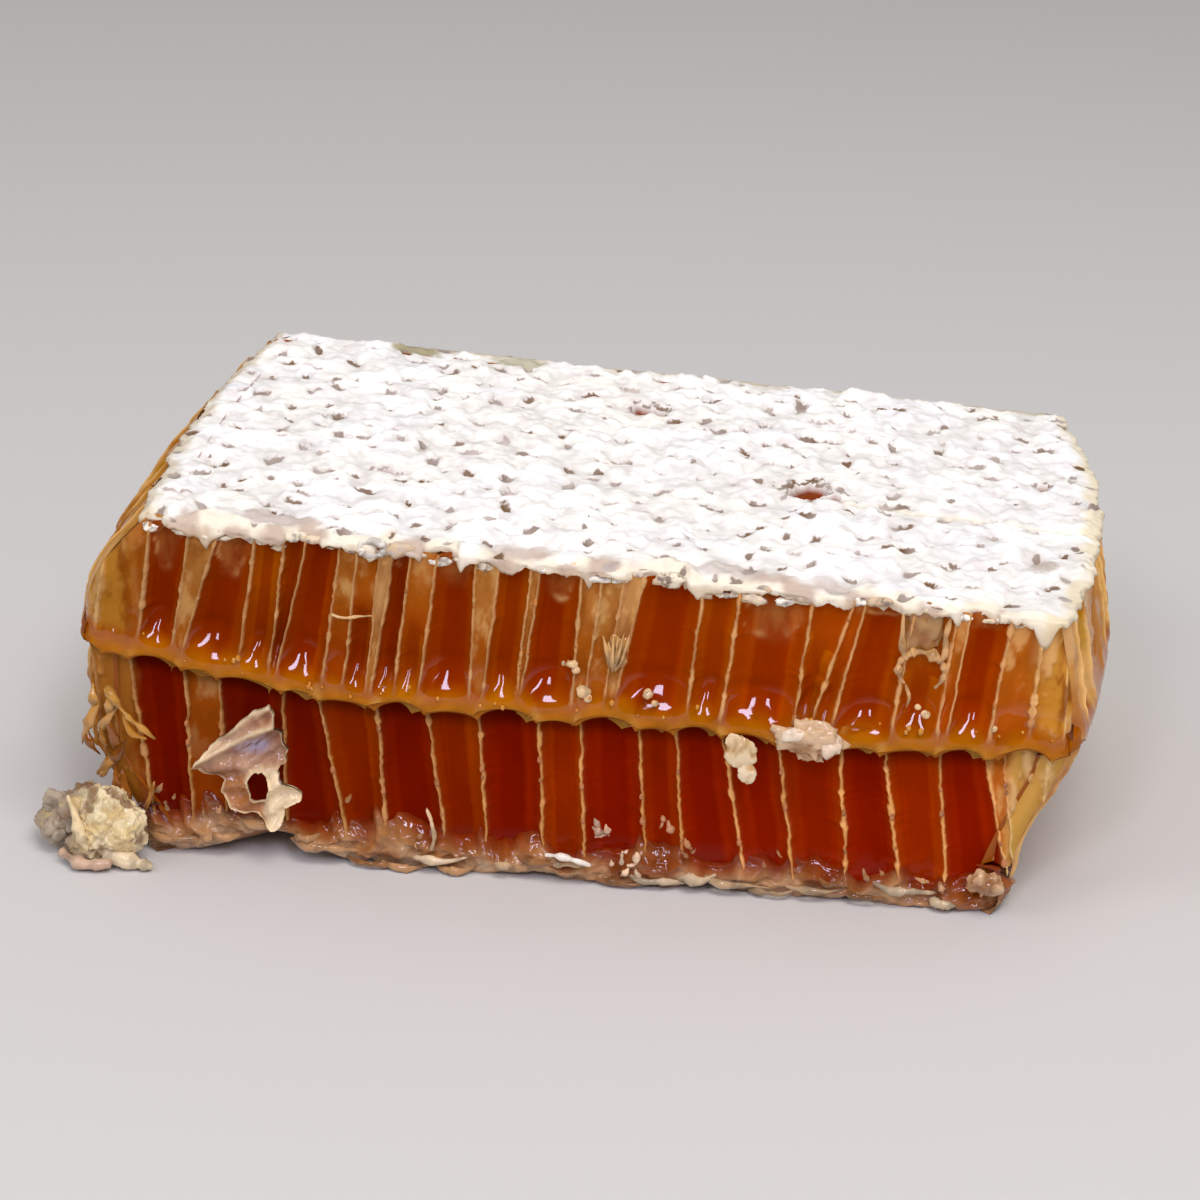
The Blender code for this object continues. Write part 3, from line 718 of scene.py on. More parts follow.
def end_faces(layer):
    """The two short ends, torn rather than cut."""
    up = layer.up
    for right in (True, False):
        posts = ((YF - 1.0, YF - 1.0, 0.1, 0.4, 0.4),), ((YB + 1.0, YB + 1.0, 0.1, 0.4, 0.4),)
        walls = posts[0] + end_walls(YF + 0.6, YB - 0.6, 1.2, 1.0 if right else 2.0) + posts[1]
        at = END_RIGHT if right else END_LEFT
        foot = (lambda v: mid_low(at) + 0.05 + arch_end(v)) if up else (lambda v: layer.lo(at + 0 * v))
        top = (lambda v: layer.hi(at + 0 * v))
        e = cut_face(walls, *layer.levels, foot, top, 0.1, R_END, FINE * 1.3, 91 if right else 97, 0.32)
        torn = 0.5 if right else (0.6 if up else 1.1)
        shape = torn * fbm(e["x"] * 0.3, e["z"] * 0.25, 3.0, 853, 4, 0.6)
        e["inward"] = e["inward"] * np.where(e["is_wall"], 0.4, 1.0) + shape
        if up:
            e = foot_shape(e, mid_low(at), arch_end(e["x"]), 0.9)
        col = paint(e, END_STOPS, 103, lambda x, z: np.full_like(z, 0.95), CREAM, 0.4)
        patch = fbm(e["x"] * 0.35, e["z"] * 0.14, 7.0, 857, 4, 0.6)
        col = tint(col, (206, 170, 116), 0.65 * smooth(0.12, 0.4, patch))
        col = tint(col, (150, 92, 16) if up else (136, 70, 14), 0.8 * smooth(0.0, -0.35, patch))
        col = col * (np.array([1.15, 1.0, 0.84]) if right else np.array([0.90, 0.77, 0.66]))
        if up:
            col = amber_foot(e, col, 859)
        wet = np.where(e["is_wall"], 0.45, 0.85) * np.ones_like(e["x"])
        layer.show("right" if right else "left", place_end(e, right, 0.9 if up else 1.7), not right, col, wet)


def core(layer):
    """Honey behind the faces, which shows through the seams at the corners."""
    pts = perimeter(1.2)
    rows = np.linspace(0.0, 1.0, 14)[:, None]
    xs = np.array([{"f": 0.0, "b": 0.0, "r": 46.0, "l": -45.0}[p[0]] for p in pts])
    t = np.array([p[1] for p in pts])
    xs = np.where(xs == 0.0, -44.0 + LONG * t, xs)[None, :]
    z = layer.lo(xs) + (layer.hi(xs) + 0.3 - layer.lo(xs)) * rows
    P = around(pts, z, np.full_like(z, -2.7 if layer.up else -3.0))
    col = np.tile(lin(150, 74, 6), P.shape[:2] + (1,))
    quads = grid_quads(*P.shape[:2], closed=True)
    build(layer.kind + "_core", P, quads, M_HONEY, layer.node, col, np.full(P.shape[:2], 0.6))


def cell_layer(up):
    layer = Layer(up)
    long_faces(layer)
    end_faces(layer)
    core(layer)


# ---- perimeter of the block, for the midrib and the base ---------------------------
def perimeter(step):
    """Outline stations round the block: (side, along), front, right, back, then left."""
    pts = []
    nx = int(LONG / step)
    ny = int(DEEP / step)
    for k in range(nx):
        pts.append(("f", (k + 0.5) / nx))
    for k in range(ny):
        pts.append(("r", (k + 0.5) / ny))
    for k in range(nx):
        pts.append(("b", 1.0 - (k + 0.5) / nx))
    for k in range(ny):
        pts.append(("l", 1.0 - (k + 0.5) / ny))
    return pts


def around(pts, z, out):
    """3-D points of outline stations at height z (2-D array), pushed outward by out."""
    side = np.array([p[0] for p in pts])
    t = np.array([p[1] for p in pts])[None, :] * np.ones_like(z)
    x = np.zeros_like(z)
    y = np.zeros_like(z)
    nx = np.zeros_like(z)
    ny = np.zeros_like(z)
    for s in "frbl":
        m = np.broadcast_to(side == s, z.shape)
        if s in "fb":
            yy = YF if s == "f" else YB
            a, b = left_x(yy, z), right_x(yy, z)
            x = np.where(m, a + (b - a) * t, x)
            y = np.where(m, yy, y)
            ny = np.where(m, -1.0 if s == "f" else 1.0, ny)
        else:
            yy = YF + (YB - YF) * t
            x = np.where(m, right_x(yy, z) if s == "r" else left_x(yy, z), x)
            y = np.where(m, yy, y)
            nx = np.where(m, 1.0 if s == "r" else -1.0, nx)
    # round the corners: blend normals and pull in near an end of each side
    near = np.where(np.isin(side, ("f", "b")), LONG, DEEP)[None, :]
    d0 = t * near
    d1 = (1.0 - t) * near
    rim = np.minimum(d0, d1)
    pull = np.where(rim < 1.8, 0.75 * (1.0 - rim / 1.8) ** 2, 0.0)
    o = out - pull
    return np.stack([x + nx * o, y + ny * o, z], -1)


cell_layer(up=True)
cell_layer(up=False)


def midrib():
    """The band of wax round the block, arched over the lower cells."""
    pts = perimeter(STEP_MID)
    prof = [(-0.35, -2.6), (-0.25, -1.4), (-0.12, -0.4), (0.0, 0.25), (0.12, 0.58), (0.3, 0.80), (0.6, 0.93),
            (1.0, 0.96), (1.4, 0.90), (1.9, 0.74), (2.4, 0.45), (2.9, 0.0), (3.4, -0.7)]
    h = np.array([p[0] for p in prof])[:, None]
    o = np.array([p[1] for p in prof])[:, None]
    side = np.array([p[0] for p in pts])
    t = np.array([p[1] for p in pts])
    x_from, x_to = left_x(YF, 18.0), right_x(YF, 18.0)
    xa = np.where(side == "r", END_RIGHT, np.where(side == "l", END_LEFT, x_from + (x_to - x_from) * t))
    along = np.where(np.isin(side, ("f", "b")), t * LONG, 200.0 + t * DEEP)
    base = mid_low(xa)[None, :]
    arch_x = np.where(np.isin(side, ("f", "b")), xa, -40.0 + t * DEEP)
    arch = arches(arch_x)[None, :]
    fall = 1.0 - smooth(0.0, 2.2, h)
    z = base + h + arch * fall
    fat = 1.0 + 0.28 * fbm(along[None, :] * 0.16, h * 0.2, 4.0, 211, 3)
    out = (np.minimum(o, 0.25) * fat) + 0.10 * fbm(along[None, :] * 0.6, h * 0.7, 9.0, 217, 3)
    # scoops where the honey lies in the foot of each upper cell
    ux = np.array([0.5 * (w[0] + w[1]) for w in UPPER])
    wall_near = np.min(np.abs(xa[:, None] - ux[None, :] + 0.6), axis=1)
    scoop = smooth(0.3, 1.7, wall_near)[None, :]
    out = out - 0.12 * scoop * smooth(0.8, 2.0, h)
    P = around(pts, z, out)
    # painted shade: the amber turns dark brown where the band tucks in under its foot
    amber = ramp(h + 0.0 * z, [(-0.35, lin(86, 22, 2)), (-0.1, lin(120, 52, 6)), (0.05, lin(140, 76, 14)),
                               (0.25, lin(160, 94, 18)), (0.6, lin(152, 82, 6)), (1.2, lin(150, 78, 4)),
                               (2.2, lin(146, 72, 3)), (3.4, lin(134, 58, 2))])
    n1 = fbm(along[None, :] * 0.3, h * 0.5, 2.0, 223, 3)
    amber = amber * (1.0 + 0.22 * n1)[..., None]
    # pale knots of wax where the walls of the upper cells stand on the midrib
    knot = (np.exp(-(wall_near / 0.45) ** 2)[None, :] * smooth(0.5, 1.6, h) * (1.0 - smooth(3.0, 4.6, h))
            * np.clip(0.5 + fbm(along[None, :] * 0.9, h, 5.0, 227, 2), 0, 1))
    amber = tint(amber, (206, 150, 70), 0.55 * knot)
    endy = np.isin(side, ("r", "l"))[None, :]
    amber = np.where((endy & (h > 2.0))[..., None], amber * np.array([1.2, 1.35, 1.5]), amber)
    wet = np.ones_like(z) * 0.25
    build("midrib_band", P, grid_quads(*P.shape[:2], closed=True), M_HONEY, "midrib", amber, wet)


midrib()


# ---- white cappings --------------------------------------------------------------
def hex_cells(x, y, turn, phase):
    """Distance to the nearest cell middle, to the next nearest, and the cell's own number."""
    c, s = math.cos(math.radians(-turn)), math.sin(math.radians(-turn))
    xr, yr = c * x - s * y, s * x + c * y
    best = np.full(x.shape, 1e9)
    second = np.full(x.shape, 1e9)
    ident = np.zeros(x.shape)
    i0 = np.round((xr - phase[0]) / (1.5 * SIDE)).astype(int)
    for di in (-1, 0, 1):
        i = i0 + di
        odd = (i % 2) * 0.5
        j0 = np.round((yr - phase[1]) / CELL - odd).astype(int)
        for dj in (-1, 0, 1):
            j = j0 + dj
            cx = i * 1.5 * SIDE + phase[0] + 0.35 * (chance(i, j, 7) - 0.5)
            cy = (j + odd) * CELL + phase[1] + 0.35 * (chance(i, j, 8) - 0.5)
            d = np.hypot(xr - cx, yr - cy)
            closer = d < best
            second = np.where(closer, best, np.minimum(second, d))
            ident = np.where(closer, i * 1000.0 + j, ident)
            best = np.where(closer, d, best)
    return best, second, ident, xr, yr


def front_edge(x):
    """The sheet's front edge: set back over wide open cells, hanging over narrow ones."""
    set_back = np.zeros_like(x)
    for k in range(len(UPPER) - 1):
        a, b = UPPER[k][0], UPPER[k + 1][0]
        if UPPER[k][3] > 2.0:
            t = np.clip((x - a) / (b - a), 0.0, 1.0)
            deep = 1.0 + 0.9 * math.sin(k * 2.3 + 1.0)
            set_back = np.where((x > a) & (x < b), deep * np.sin(math.pi * t) ** 0.6, set_back)
    return YF - 0.25 + set_back + 0.35 * fbm(x * 0.8, 0.0, 0.0, 301, 3)


def capping_pits(x, y, xq, yq):
    """How deep in a pit each point is, and where a capping is broken right through."""
    pit = np.full_like(x, -1.0)
    for kind, prob, size in ((0, 0.95, 1.0), (1, 0.62, 0.85), (2, 0.42, 0.7)):
        shift = (SIDE, -SIDE, 0.3 * SIDE)[kind]
        i = np.round((xq - PHASE[0] - shift) / (1.5 * SIDE)).astype(int)
        odd = (i % 2) * 0.5
        j = np.round((yq - PHASE[1]) / CELL - odd).astype(int)
        rx = chance(i, j, 401 + kind) - 0.5
        ry = chance(i, j, 431 + kind) - 0.5
        rr = chance(i, j, 461 + kind)
        rs = chance(i, j, 491 + kind)
        ra = chance(i, j, 521 + kind) * math.pi
        cx = i * 1.5 * SIDE + PHASE[0] + shift + 1.8 * rx
        cy = (j + odd) * CELL + PHASE[1] + 1.8 * ry
        dx, dy = xq - cx, yq - cy
        e1 = dx * np.cos(ra) + dy * np.sin(ra)
        e2 = -dx * np.sin(ra) + dy * np.cos(ra)
        e2 = e2 + 0.35 * (rx + 0.3) * e1 * e1
        rad = (0.30 + 0.50 * rs ** 1.3) * size
        d = np.hypot(e1 / 1.7, e2 / 0.9) / rad
        pit = np.maximum(pit, np.where(rr < prob, 1.0 - d, -1.0))
    # broken cappings
    hole = np.zeros_like(x)
    for hx, hy, ha, hb in ((20.6, -0.9, 2.5, 1.9), (3.2, 17.7, 1.9, 1.2), (23.2, -2.2, 1.3, 0.5),
                           (-19.2, -8.0, 1.1, 0.7), (43.4, 8.0, 0.8, 0.7)):
        d = np.hypot((x - hx) / ha, (y - hy) / hb) * (1.0 + 0.35 * fbm(x * 1.1, y * 1.1, 0.0, 421, 2))
        pit = np.maximum(pit, 1.3 - d)
        hole = np.maximum(hole, 1.0 - smooth(0.66, 0.92, d))
    return np.clip(pit, -1.0, 1.0), hole


def capping_tones(x, y, rims, puff, pit, hole, crease):
    """Whites and greys of the cappings, with painted shade in the hollows between puffs and round the pits;
    rims are the distances to the front, back, left and right edges.
    """
    ef, eb, el, er = rims
    white = lin(254, 251, 244)
    cool = lin(240, 237, 240)
    warm = lin(252, 243, 224)
    col = mix(white, cool, np.clip(0.25 + 1.1 * fbm(x * 0.3, y * 0.3, 0.0, 441, 3), 0, 1) * 0.75)
    col = mix(col, warm, np.clip(0.25 + 0.9 * fbm(x * 0.13, y * 0.13, 4.0, 443, 2), 0, 1) * 0.5)
    col = tint(col, (226, 218, 212), 0.8 * smooth(0.18, 0.5, fbm(x * 0.7, y * 0.7, 2.0, 445, 3)))
    # painted shade: greyer in the low parts of the puffs
    col = tint(col, (222, 216, 208), 0.5 * smooth(0.06, -0.24, puff))
    # painted shade: greyer where the surface dips round each pit
    pit_shade = smooth(-0.75, 0.1, pit)
    col = tint(col, (214, 204, 196), 0.45 * pit_shade)
    col = tint(col, (128, 54, 10), hole)
    col = tint(col, (236, 214, 160), 0.35 * crease)
    # the cut edge: cream, then see-through beige wax
    torn = 1.3 * fbm(x * 0.55, y * 0.55, 6.0, 447, 3, 0.6)
    near_front = ef + torn
    col = tint(col, (240, 226, 198), 0.8 * smooth(1.7, 0.3, near_front))
    clear = smooth(-0.02, 0.30, fbm(x * 0.34, y * 0.5, 8.0, 449, 3)) * smooth(2.8, 1.0, near_front)
    col = tint(col, (186, 160, 142), 0.8 * clear)
    side_rim = np.minimum(el, eb) + torn
    col = tint(col, (196, 176, 140), 0.7 * smooth(1.6, 0.2, side_rim))
    col = tint(col, (232, 214, 170), 0.7 * smooth(1.8, 0.2, er + torn))
    patches = ((-27.6, -22.8, 3.2, 1.6, lin(190, 172, 160), 0.8),
               (14.4, -23.3, 3.2, 1.5, lin(200, 186, 176), 0.75),
               (-22.5, 28.0, 3.0, 1.5, lin(150, 136, 84), 0.8),
               (-11.6, 27.6, 3.0, 1.5, lin(160, 150, 104), 0.7),
               (43.1, -13.6, 1.3, 1.3, lin(170, 150, 130), 0.6),
               (24.0, -23.6, 2.4, 1.2, lin(214, 200, 190), 0.6),
               (-5.8, -23.9, 2.6, 1.2, lin(206, 188, 172), 0.5))
    for px, py, pa, pb, tone, amt in patches:
        d = np.hypot((x - px) / pa, (y - py) / pb) * (1.0 + 0.4 * fbm(x * 0.9, y * 0.9, 2.0, 451, 2))
        col = mix(col, tone, amt * (1.0 - smooth(0.7, 1.15, d)))
    return col


def lip_rows(edge_pts, edge_col, normal, hang, thick, seed):
    """Rows of points and tones for a torn lip that turns down and under all round the sheet."""
    along = edge_pts[:, 0] + edge_pts[:, 1] * 1.7
    rows = []
    cols = []
    tone_low = lin(206, 172, 130)
    shape = [(0.18, -0.22, 0.0), (0.30, -0.55, 0.0), (0.30, -0.85, 0.35), (0.22, -1.05, 0.75),
             (0.05, -1.15, 1.0), (-0.30, -1.10, 0.9), (-1.0, -1.1, 0.4), (-2.6, -1.15, 0.0)]
    for k, (o, d, f) in enumerate(shape):
        w = 0.34 * fbm(along * 0.9, k * 0.5, 0.0, seed, 4, 0.65)
        q = edge_pts.copy()
        q[:, :2] += normal * (o * thick + w)[:, None]
        q[:, 2] += d * thick - f * hang
        rows.append(q)
        blend = np.clip(0.13 * k + 0.5 * fbm(along * 0.6, k * 0.5, 2.0, seed + 3, 3), 0.0, 0.9)
        cols.append(mix(edge_col, tone_low, blend))
    return np.stack(rows), np.stack(cols)


def capping_lip(P, col):
    """The sheet's edge as a loop of grid places, with the rows of its lip."""
    ny, nx = P.shape[:2]
    loop = [(0, k) for k in range(nx)]
    loop += [(k, nx - 1) for k in range(1, ny)]
    loop += [(ny - 1, k) for k in range(nx - 2, -1, -1)]
    loop += [(k, 0) for k in range(ny - 2, 0, -1)]
    loop = np.array(loop)
    edge = P[loop[:, 0], loop[:, 1]]
    ecol = col[loop[:, 0], loop[:, 1]]
    base_n = np.zeros((len(loop), 2))
    base_n[loop[:, 0] == 0] = (0.0, -1.0)
    base_n[loop[:, 0] == ny - 1] = (0.0, 1.0)
    base_n[(loop[:, 1] == nx - 1) & (loop[:, 0] > 0) & (loop[:, 0] < ny - 1)] = (1.0, 0.0)
    base_n[(loop[:, 1] == 0) & (loop[:, 0] > 0) & (loop[:, 0] < ny - 1)] = (-1.0, 0.0)
    ks = np.hanning(13)
    ks /= ks.sum()
    for a in (0, 1):
        base_n[:, a] = np.convolve(np.r_[base_n[-6:, a], base_n[:, a], base_n[:6, a]], ks, "valid")
    base_n /= np.maximum(np.linalg.norm(base_n, axis=1), 1e-6)[:, None]
    ex = edge[:, 0]
    hang = np.clip(0.02 + 1.1 * fbm(ex * 0.6, edge[:, 1] * 0.6, 0.0, 461, 4, 0.7), 0.0, 1.3)
    for hx, w, amount in ((-9.9, 0.9, 1.0), (11.9, 1.3, 1.1), (43.0, 1.4, 2.2), (1.9, 0.6, 1.4),
                          (-42.7, 2.0, 1.0), (35.4, 0.9, 1.0), (-18.0, 1.6, 0.6), (-33.5, 0.8, 0.9),
                          (-5.6, 1.6, 0.8)):
        hang = hang + np.where(edge[:, 1] < YF + 5.0, amount * bell(ex, hx, w), 0.0)
    thick = np.clip(0.62 + 0.55 * fbm(ex * 0.8, edge[:, 1] * 0.8, 3.0, 463, 4, 0.65), 0.42, 1.2)
    return loop, *lip_rows(edge, ecol, base_n, hang, thick, 467)


def cappings():
    """The white sheet: a grid of puffs, pits and a crease, with its lip."""
    nx = 372
    ny = 216
    u = np.linspace(0.0, 1.0, nx)[None, :]
    v = np.linspace(0.0, 1.0, ny)[:, None]
    # the sheet runs from its front edge to its back edge
    x_mid = -38.0 + u * 84.0
    yf = front_edge(x_mid)
    yb = YB + 0.1 + 0.5 * fbm(x_mid * 0.7, 3.0, 0.0, 307, 3)
    y = yf + (yb - yf) * v
    xl = left_x(y, 40.0) - 0.2 + 0.5 * fbm(y * 0.6, 5.0, 0.0, 311, 3)
    xr = right_x(y, 31.0) + 0.3 + 0.6 * fbm(y * 0.6, 8.0, 0.0, 313, 3)
    x = xl + (xr - xl) * u
    best, second, ident, xq, yq = hex_cells(x - OX, y - OY, UPPER_TURN, PHASE)
    ii = np.floor_divide(ident.astype(np.int64) + 500, 1000)
    jj = (ident - ii * 1000).astype(np.int64)
    h1 = chance(ii, jj, 21)
    gap = second - best
    dome = smooth(0.0, 2.2, gap)
    height = 0.20 * dome * (0.35 + h1) + 0.14 * (h1 - 0.5) * smooth(0.0, 0.8, gap)
    puff = fbm(x * 0.55, y * 0.40, 0.0, 331, 3, 0.6)
    height = (height + 0.42 * puff + 0.20 * fbm(x * 0.9, y * 0.7, 3.0, 333, 2)
              + 0.12 * fbm(x * 2.0, y * 1.6, 0.0, 337, 2))
    height = height + 0.35 * noise(x * 0.07, y * 0.09, 0.0, 341)
    pit, hole = capping_pits(x, y, xq, yq)
    height = height - 0.42 * smooth(-0.25, 0.5, pit) - 0.7 * hole
    # crease running to the right
    cy = -2.9 - 0.06 * (x - 22.0) + 0.5 * fbm(x * 0.3, 0.0, 0.0, 431, 2)
    crease = np.exp(-((y - cy) / 0.45) ** 2) * smooth(20.0, 26.0, x)
    height = height - 0.28 * crease
    # edges round over
    ef = (y - yf)
    eb = (yb - y)
    el = (x - xl)
    er = (xr - x)
    rim = np.minimum(np.minimum(ef, eb), np.minimum(el, er))
    height = height * smooth(-0.2, 1.2, rim) - 0.35 * (1.0 - smooth(0.0, 1.0, rim))
    height = np.where(rim < 2.6, np.maximum(height, -0.28), height)
    z = top_plane(x) - 0.25 + height
    P = np.stack([x, y, z], -1)
    col = capping_tones(x, y, (ef, eb, el, er), puff, pit, hole, crease)
    wet = np.clip(0.1 + 0.5 * fbm(x * 0.5, y * 0.5, 6.0, 453, 2), 0.0, 0.6)
    pit = np.where(hole > 0.0, -1.0, pit)
    loop, LP, LC = capping_lip(P, col)
    nv = nx * ny
    verts = np.concatenate([P.reshape(-1, 3), LP.reshape(-1, 3)])
    cols_all = np.concatenate([col.reshape(-1, 3), LC.reshape(-1, 3)])
    q1 = grid_quads(ny, nx)
    m = len(loop)
    loop_index = loop[:, 0] * nx + loop[:, 1]
    nxt = np.roll(np.arange(m), -1)
    first = np.stack([loop_index, nv + np.arange(m), nv + nxt, loop_index[nxt]], -1)
    rest = [first]
    for k in range(len(LP) - 1):
        a = nv + k * m
        b = a + m
        rest.append(np.stack([a + np.arange(m), b + np.arange(m), b + nxt, a + nxt], -1))
    quads = np.concatenate([q1] + rest)
    wet_all = np.concatenate([wet.ravel(), np.full(LP.shape[0] * m, 0.5)])
    pit_all = np.concatenate([pit.ravel(), np.full(LP.shape[0] * m, -1.0)])
    build("cappings", verts, quads, M_CAPS, "top_cappings", cols_all, wet_all, pit=pit_all)


cappings()


# ---- ragged base -------------------------------------------------------------------
def base():
    """The ragged wet wax round the foot, and the underside."""
    pts = perimeter(0.27)
    side = np.array([p[0] for p in pts])
    t = np.array([p[1] for p in pts])
    x_from, x_to = left_x(YF, 3.0), right_x(YF, 3.0)
    xa = np.where(side == "r", 43.0, np.where(side == "l", -41.0, x_from + (x_to - x_from) * t))
    start = np.array([{"f": 0.0, "r": 100.0, "l": 200.0, "b": 300.0}[p[0]] for p in pts])
    along = start + t * np.where(np.isin(side, ("f", "b")), 88.0, DEEP)
    rows = 46
    r = np.linspace(0.0, 1.0, rows)[:, None]
    al = along[None, :]
    # height of the ragged upper edge: climbs up the walls
    lx = np.array([w[1] for w in LOWER])
    near = np.min(np.abs(xa[:, None] - lx[None, :]), axis=1)
    on_left = np.where(side == "f", smooth(4.0, -14.0, xa), 0.3)
    top = (3.3 + 1.5 * on_left + 1.3 * np.exp(-(near / 0.7) ** 2)
           + 2.6 * fbm(along * 0.22, 0.0, 0.0, 501, 4, 0.62))
    top = np.clip(top, 1.7, 7.0)[None, :]
    gaps = 2.7 * bell(xa, -28.0, 9.5) + 0.6 * bell(xa, -2.0, 3.0) + 0.5 * bell(xa, 14.0, 4.0)
    lift = np.where(side == "f", gaps, 0.0) + 0.45 * np.clip(fbm(along * 0.3, 4.0, 0.0, 503, 3), 0, 1)
    low = np.clip(lift, 0.0, 3.2)[None, :]
    z = low + (np.maximum(top, low + 1.2) - low) * r
    bulge = np.sin(math.pi * np.clip(r * 0.9 + 0.1, 0, 1)) ** 0.6
    lumps = fbm(al * 0.42, z * 0.5, 0.0, 511, 4, 0.55)
    out = (-1.6 + 1.35 * bulge + 1.45 * np.clip(lumps, -0.6, 1.0) * bulge
           + 0.5 * fbm(al * 1.1, z * 1.1, 2.0, 517, 4, 0.6))
    fade = smooth(0.45, 0.95, r + 0.25 * fbm(al * 0.5, z * 0.4, 6.0, 519, 3))
    out = out * (1.0 - 0.6 * fade) - 0.9 * fade
    out = np.where(r > 0.93, out - 1.6 * (r - 0.93) / 0.07, out)
    P = around(pts, z, out)
    beige = lin(172, 118, 68)
    pale = lin(208, 172, 130)
    brown = lin(134, 66, 22)
    mauve = lin(138, 96, 74)
    amber = lin(146, 70, 8)
    n1 = fbm(al * 0.3, z * 0.5, 5.0, 521, 3)
    n2 = fbm(al * 0.7, z * 0.8, 8.0, 523, 3)
    col = mix(brown, beige, smooth(-0.25, 0.45, n1 + 0.5 * lumps))
    col = mix(col, mauve, 0.6 * smooth(0.1, 0.5, fbm(al * 0.18, z * 0.3, 9.0, 527, 2)))
    col = mix(col, amber, 0.7 * smooth(0.15, 0.5, fbm(al * 0.2, z * 0.35, 13.0, 529, 3)))
    lip = (smooth(0.75, 0.1, r + 0.55 * n2)
           * np.clip(0.55 + 0.9 * fbm(al * 0.25, 0.0 * z, 15.0, 535, 3), 0.1, 1.0))
    left_side = on_left[None, :]
    col = mix(col, beige, 0.6 * left_side * smooth(1.0, 0.4, r))
    col = mix(col, pale, lip * (0.50 + 0.5 * left_side))
    col = tint(col, (122, 36, 4), 0.9 * fade)
    col = col * (1.0 + 0.25 * fbm(al * 1.3, z * 1.3, 21.0, 533, 3))[..., None]
    wet = np.clip(0.55 + 0.9 * fbm(al * 0.5, z * 0.6, 17.0, 531, 2), 0.0, 1.0)
    build("base_cappings", P, grid_quads(*P.shape[:2], closed=True), M_BASE, "bottom_cappings", col, wet)
    # underside
    bm_pts = P[0]
    c = bm_pts.mean(0)
    verts = np.concatenate([bm_pts, c[None, :] * np.array([1, 1, 0]) + np.array([0, 0, 0.4])])
    n = len(bm_pts)
    tris = np.stack([np.arange(n), np.full(n, n), np.roll(np.arange(n), -1)], -1)
    build("base_under", verts, None, M_BASE, "bottom_cappings", np.tile(lin(170, 120, 80), (n + 1, 1)),
          np.full(n + 1, 0.3), tris=tris)


base()


# ---- lumps of wax --------------------------------------------------------------------
def sphere(n, gap=0.0):
    """Directions all round, in n rows that stop short of the poles by gap."""
    th = np.linspace(gap, math.pi - gap, n)[:, None]
    ph = np.linspace(0.0, 2.0 * math.pi, 2 * n, endpoint=False)[None, :]
    return np.stack([np.sin(th) * np.cos(ph), np.sin(th) * np.sin(ph), np.cos(th) * np.ones_like(ph)], -1)


def lump_mesh(lobes, centre, detail, rough, seed):
    """Points of one closed lump: spheres merged around a centre, then made uneven."""
    d = sphere(detail)
    reach = np.zeros(d.shape[:2])
    for (lx, ly, lz), rad in lobes:
        o = np.array([lx, ly, lz]) - centre
        along = d @ o
        off = rad * rad - o @ o + along * along
        hit = np.where(off > 0.0, along + np.sqrt(np.maximum(off, 0.0)), 0.0)
        reach = np.maximum(reach, hit)
    P = centre + d * reach[..., None]
    k = rough * fbm_at(P, 0.6, seed, 4, 0.6) + 0.35 * rough * fbm_at(P, 2.2, seed + 9, 2)
    P = P + d * k[..., None]
    return P, d, k


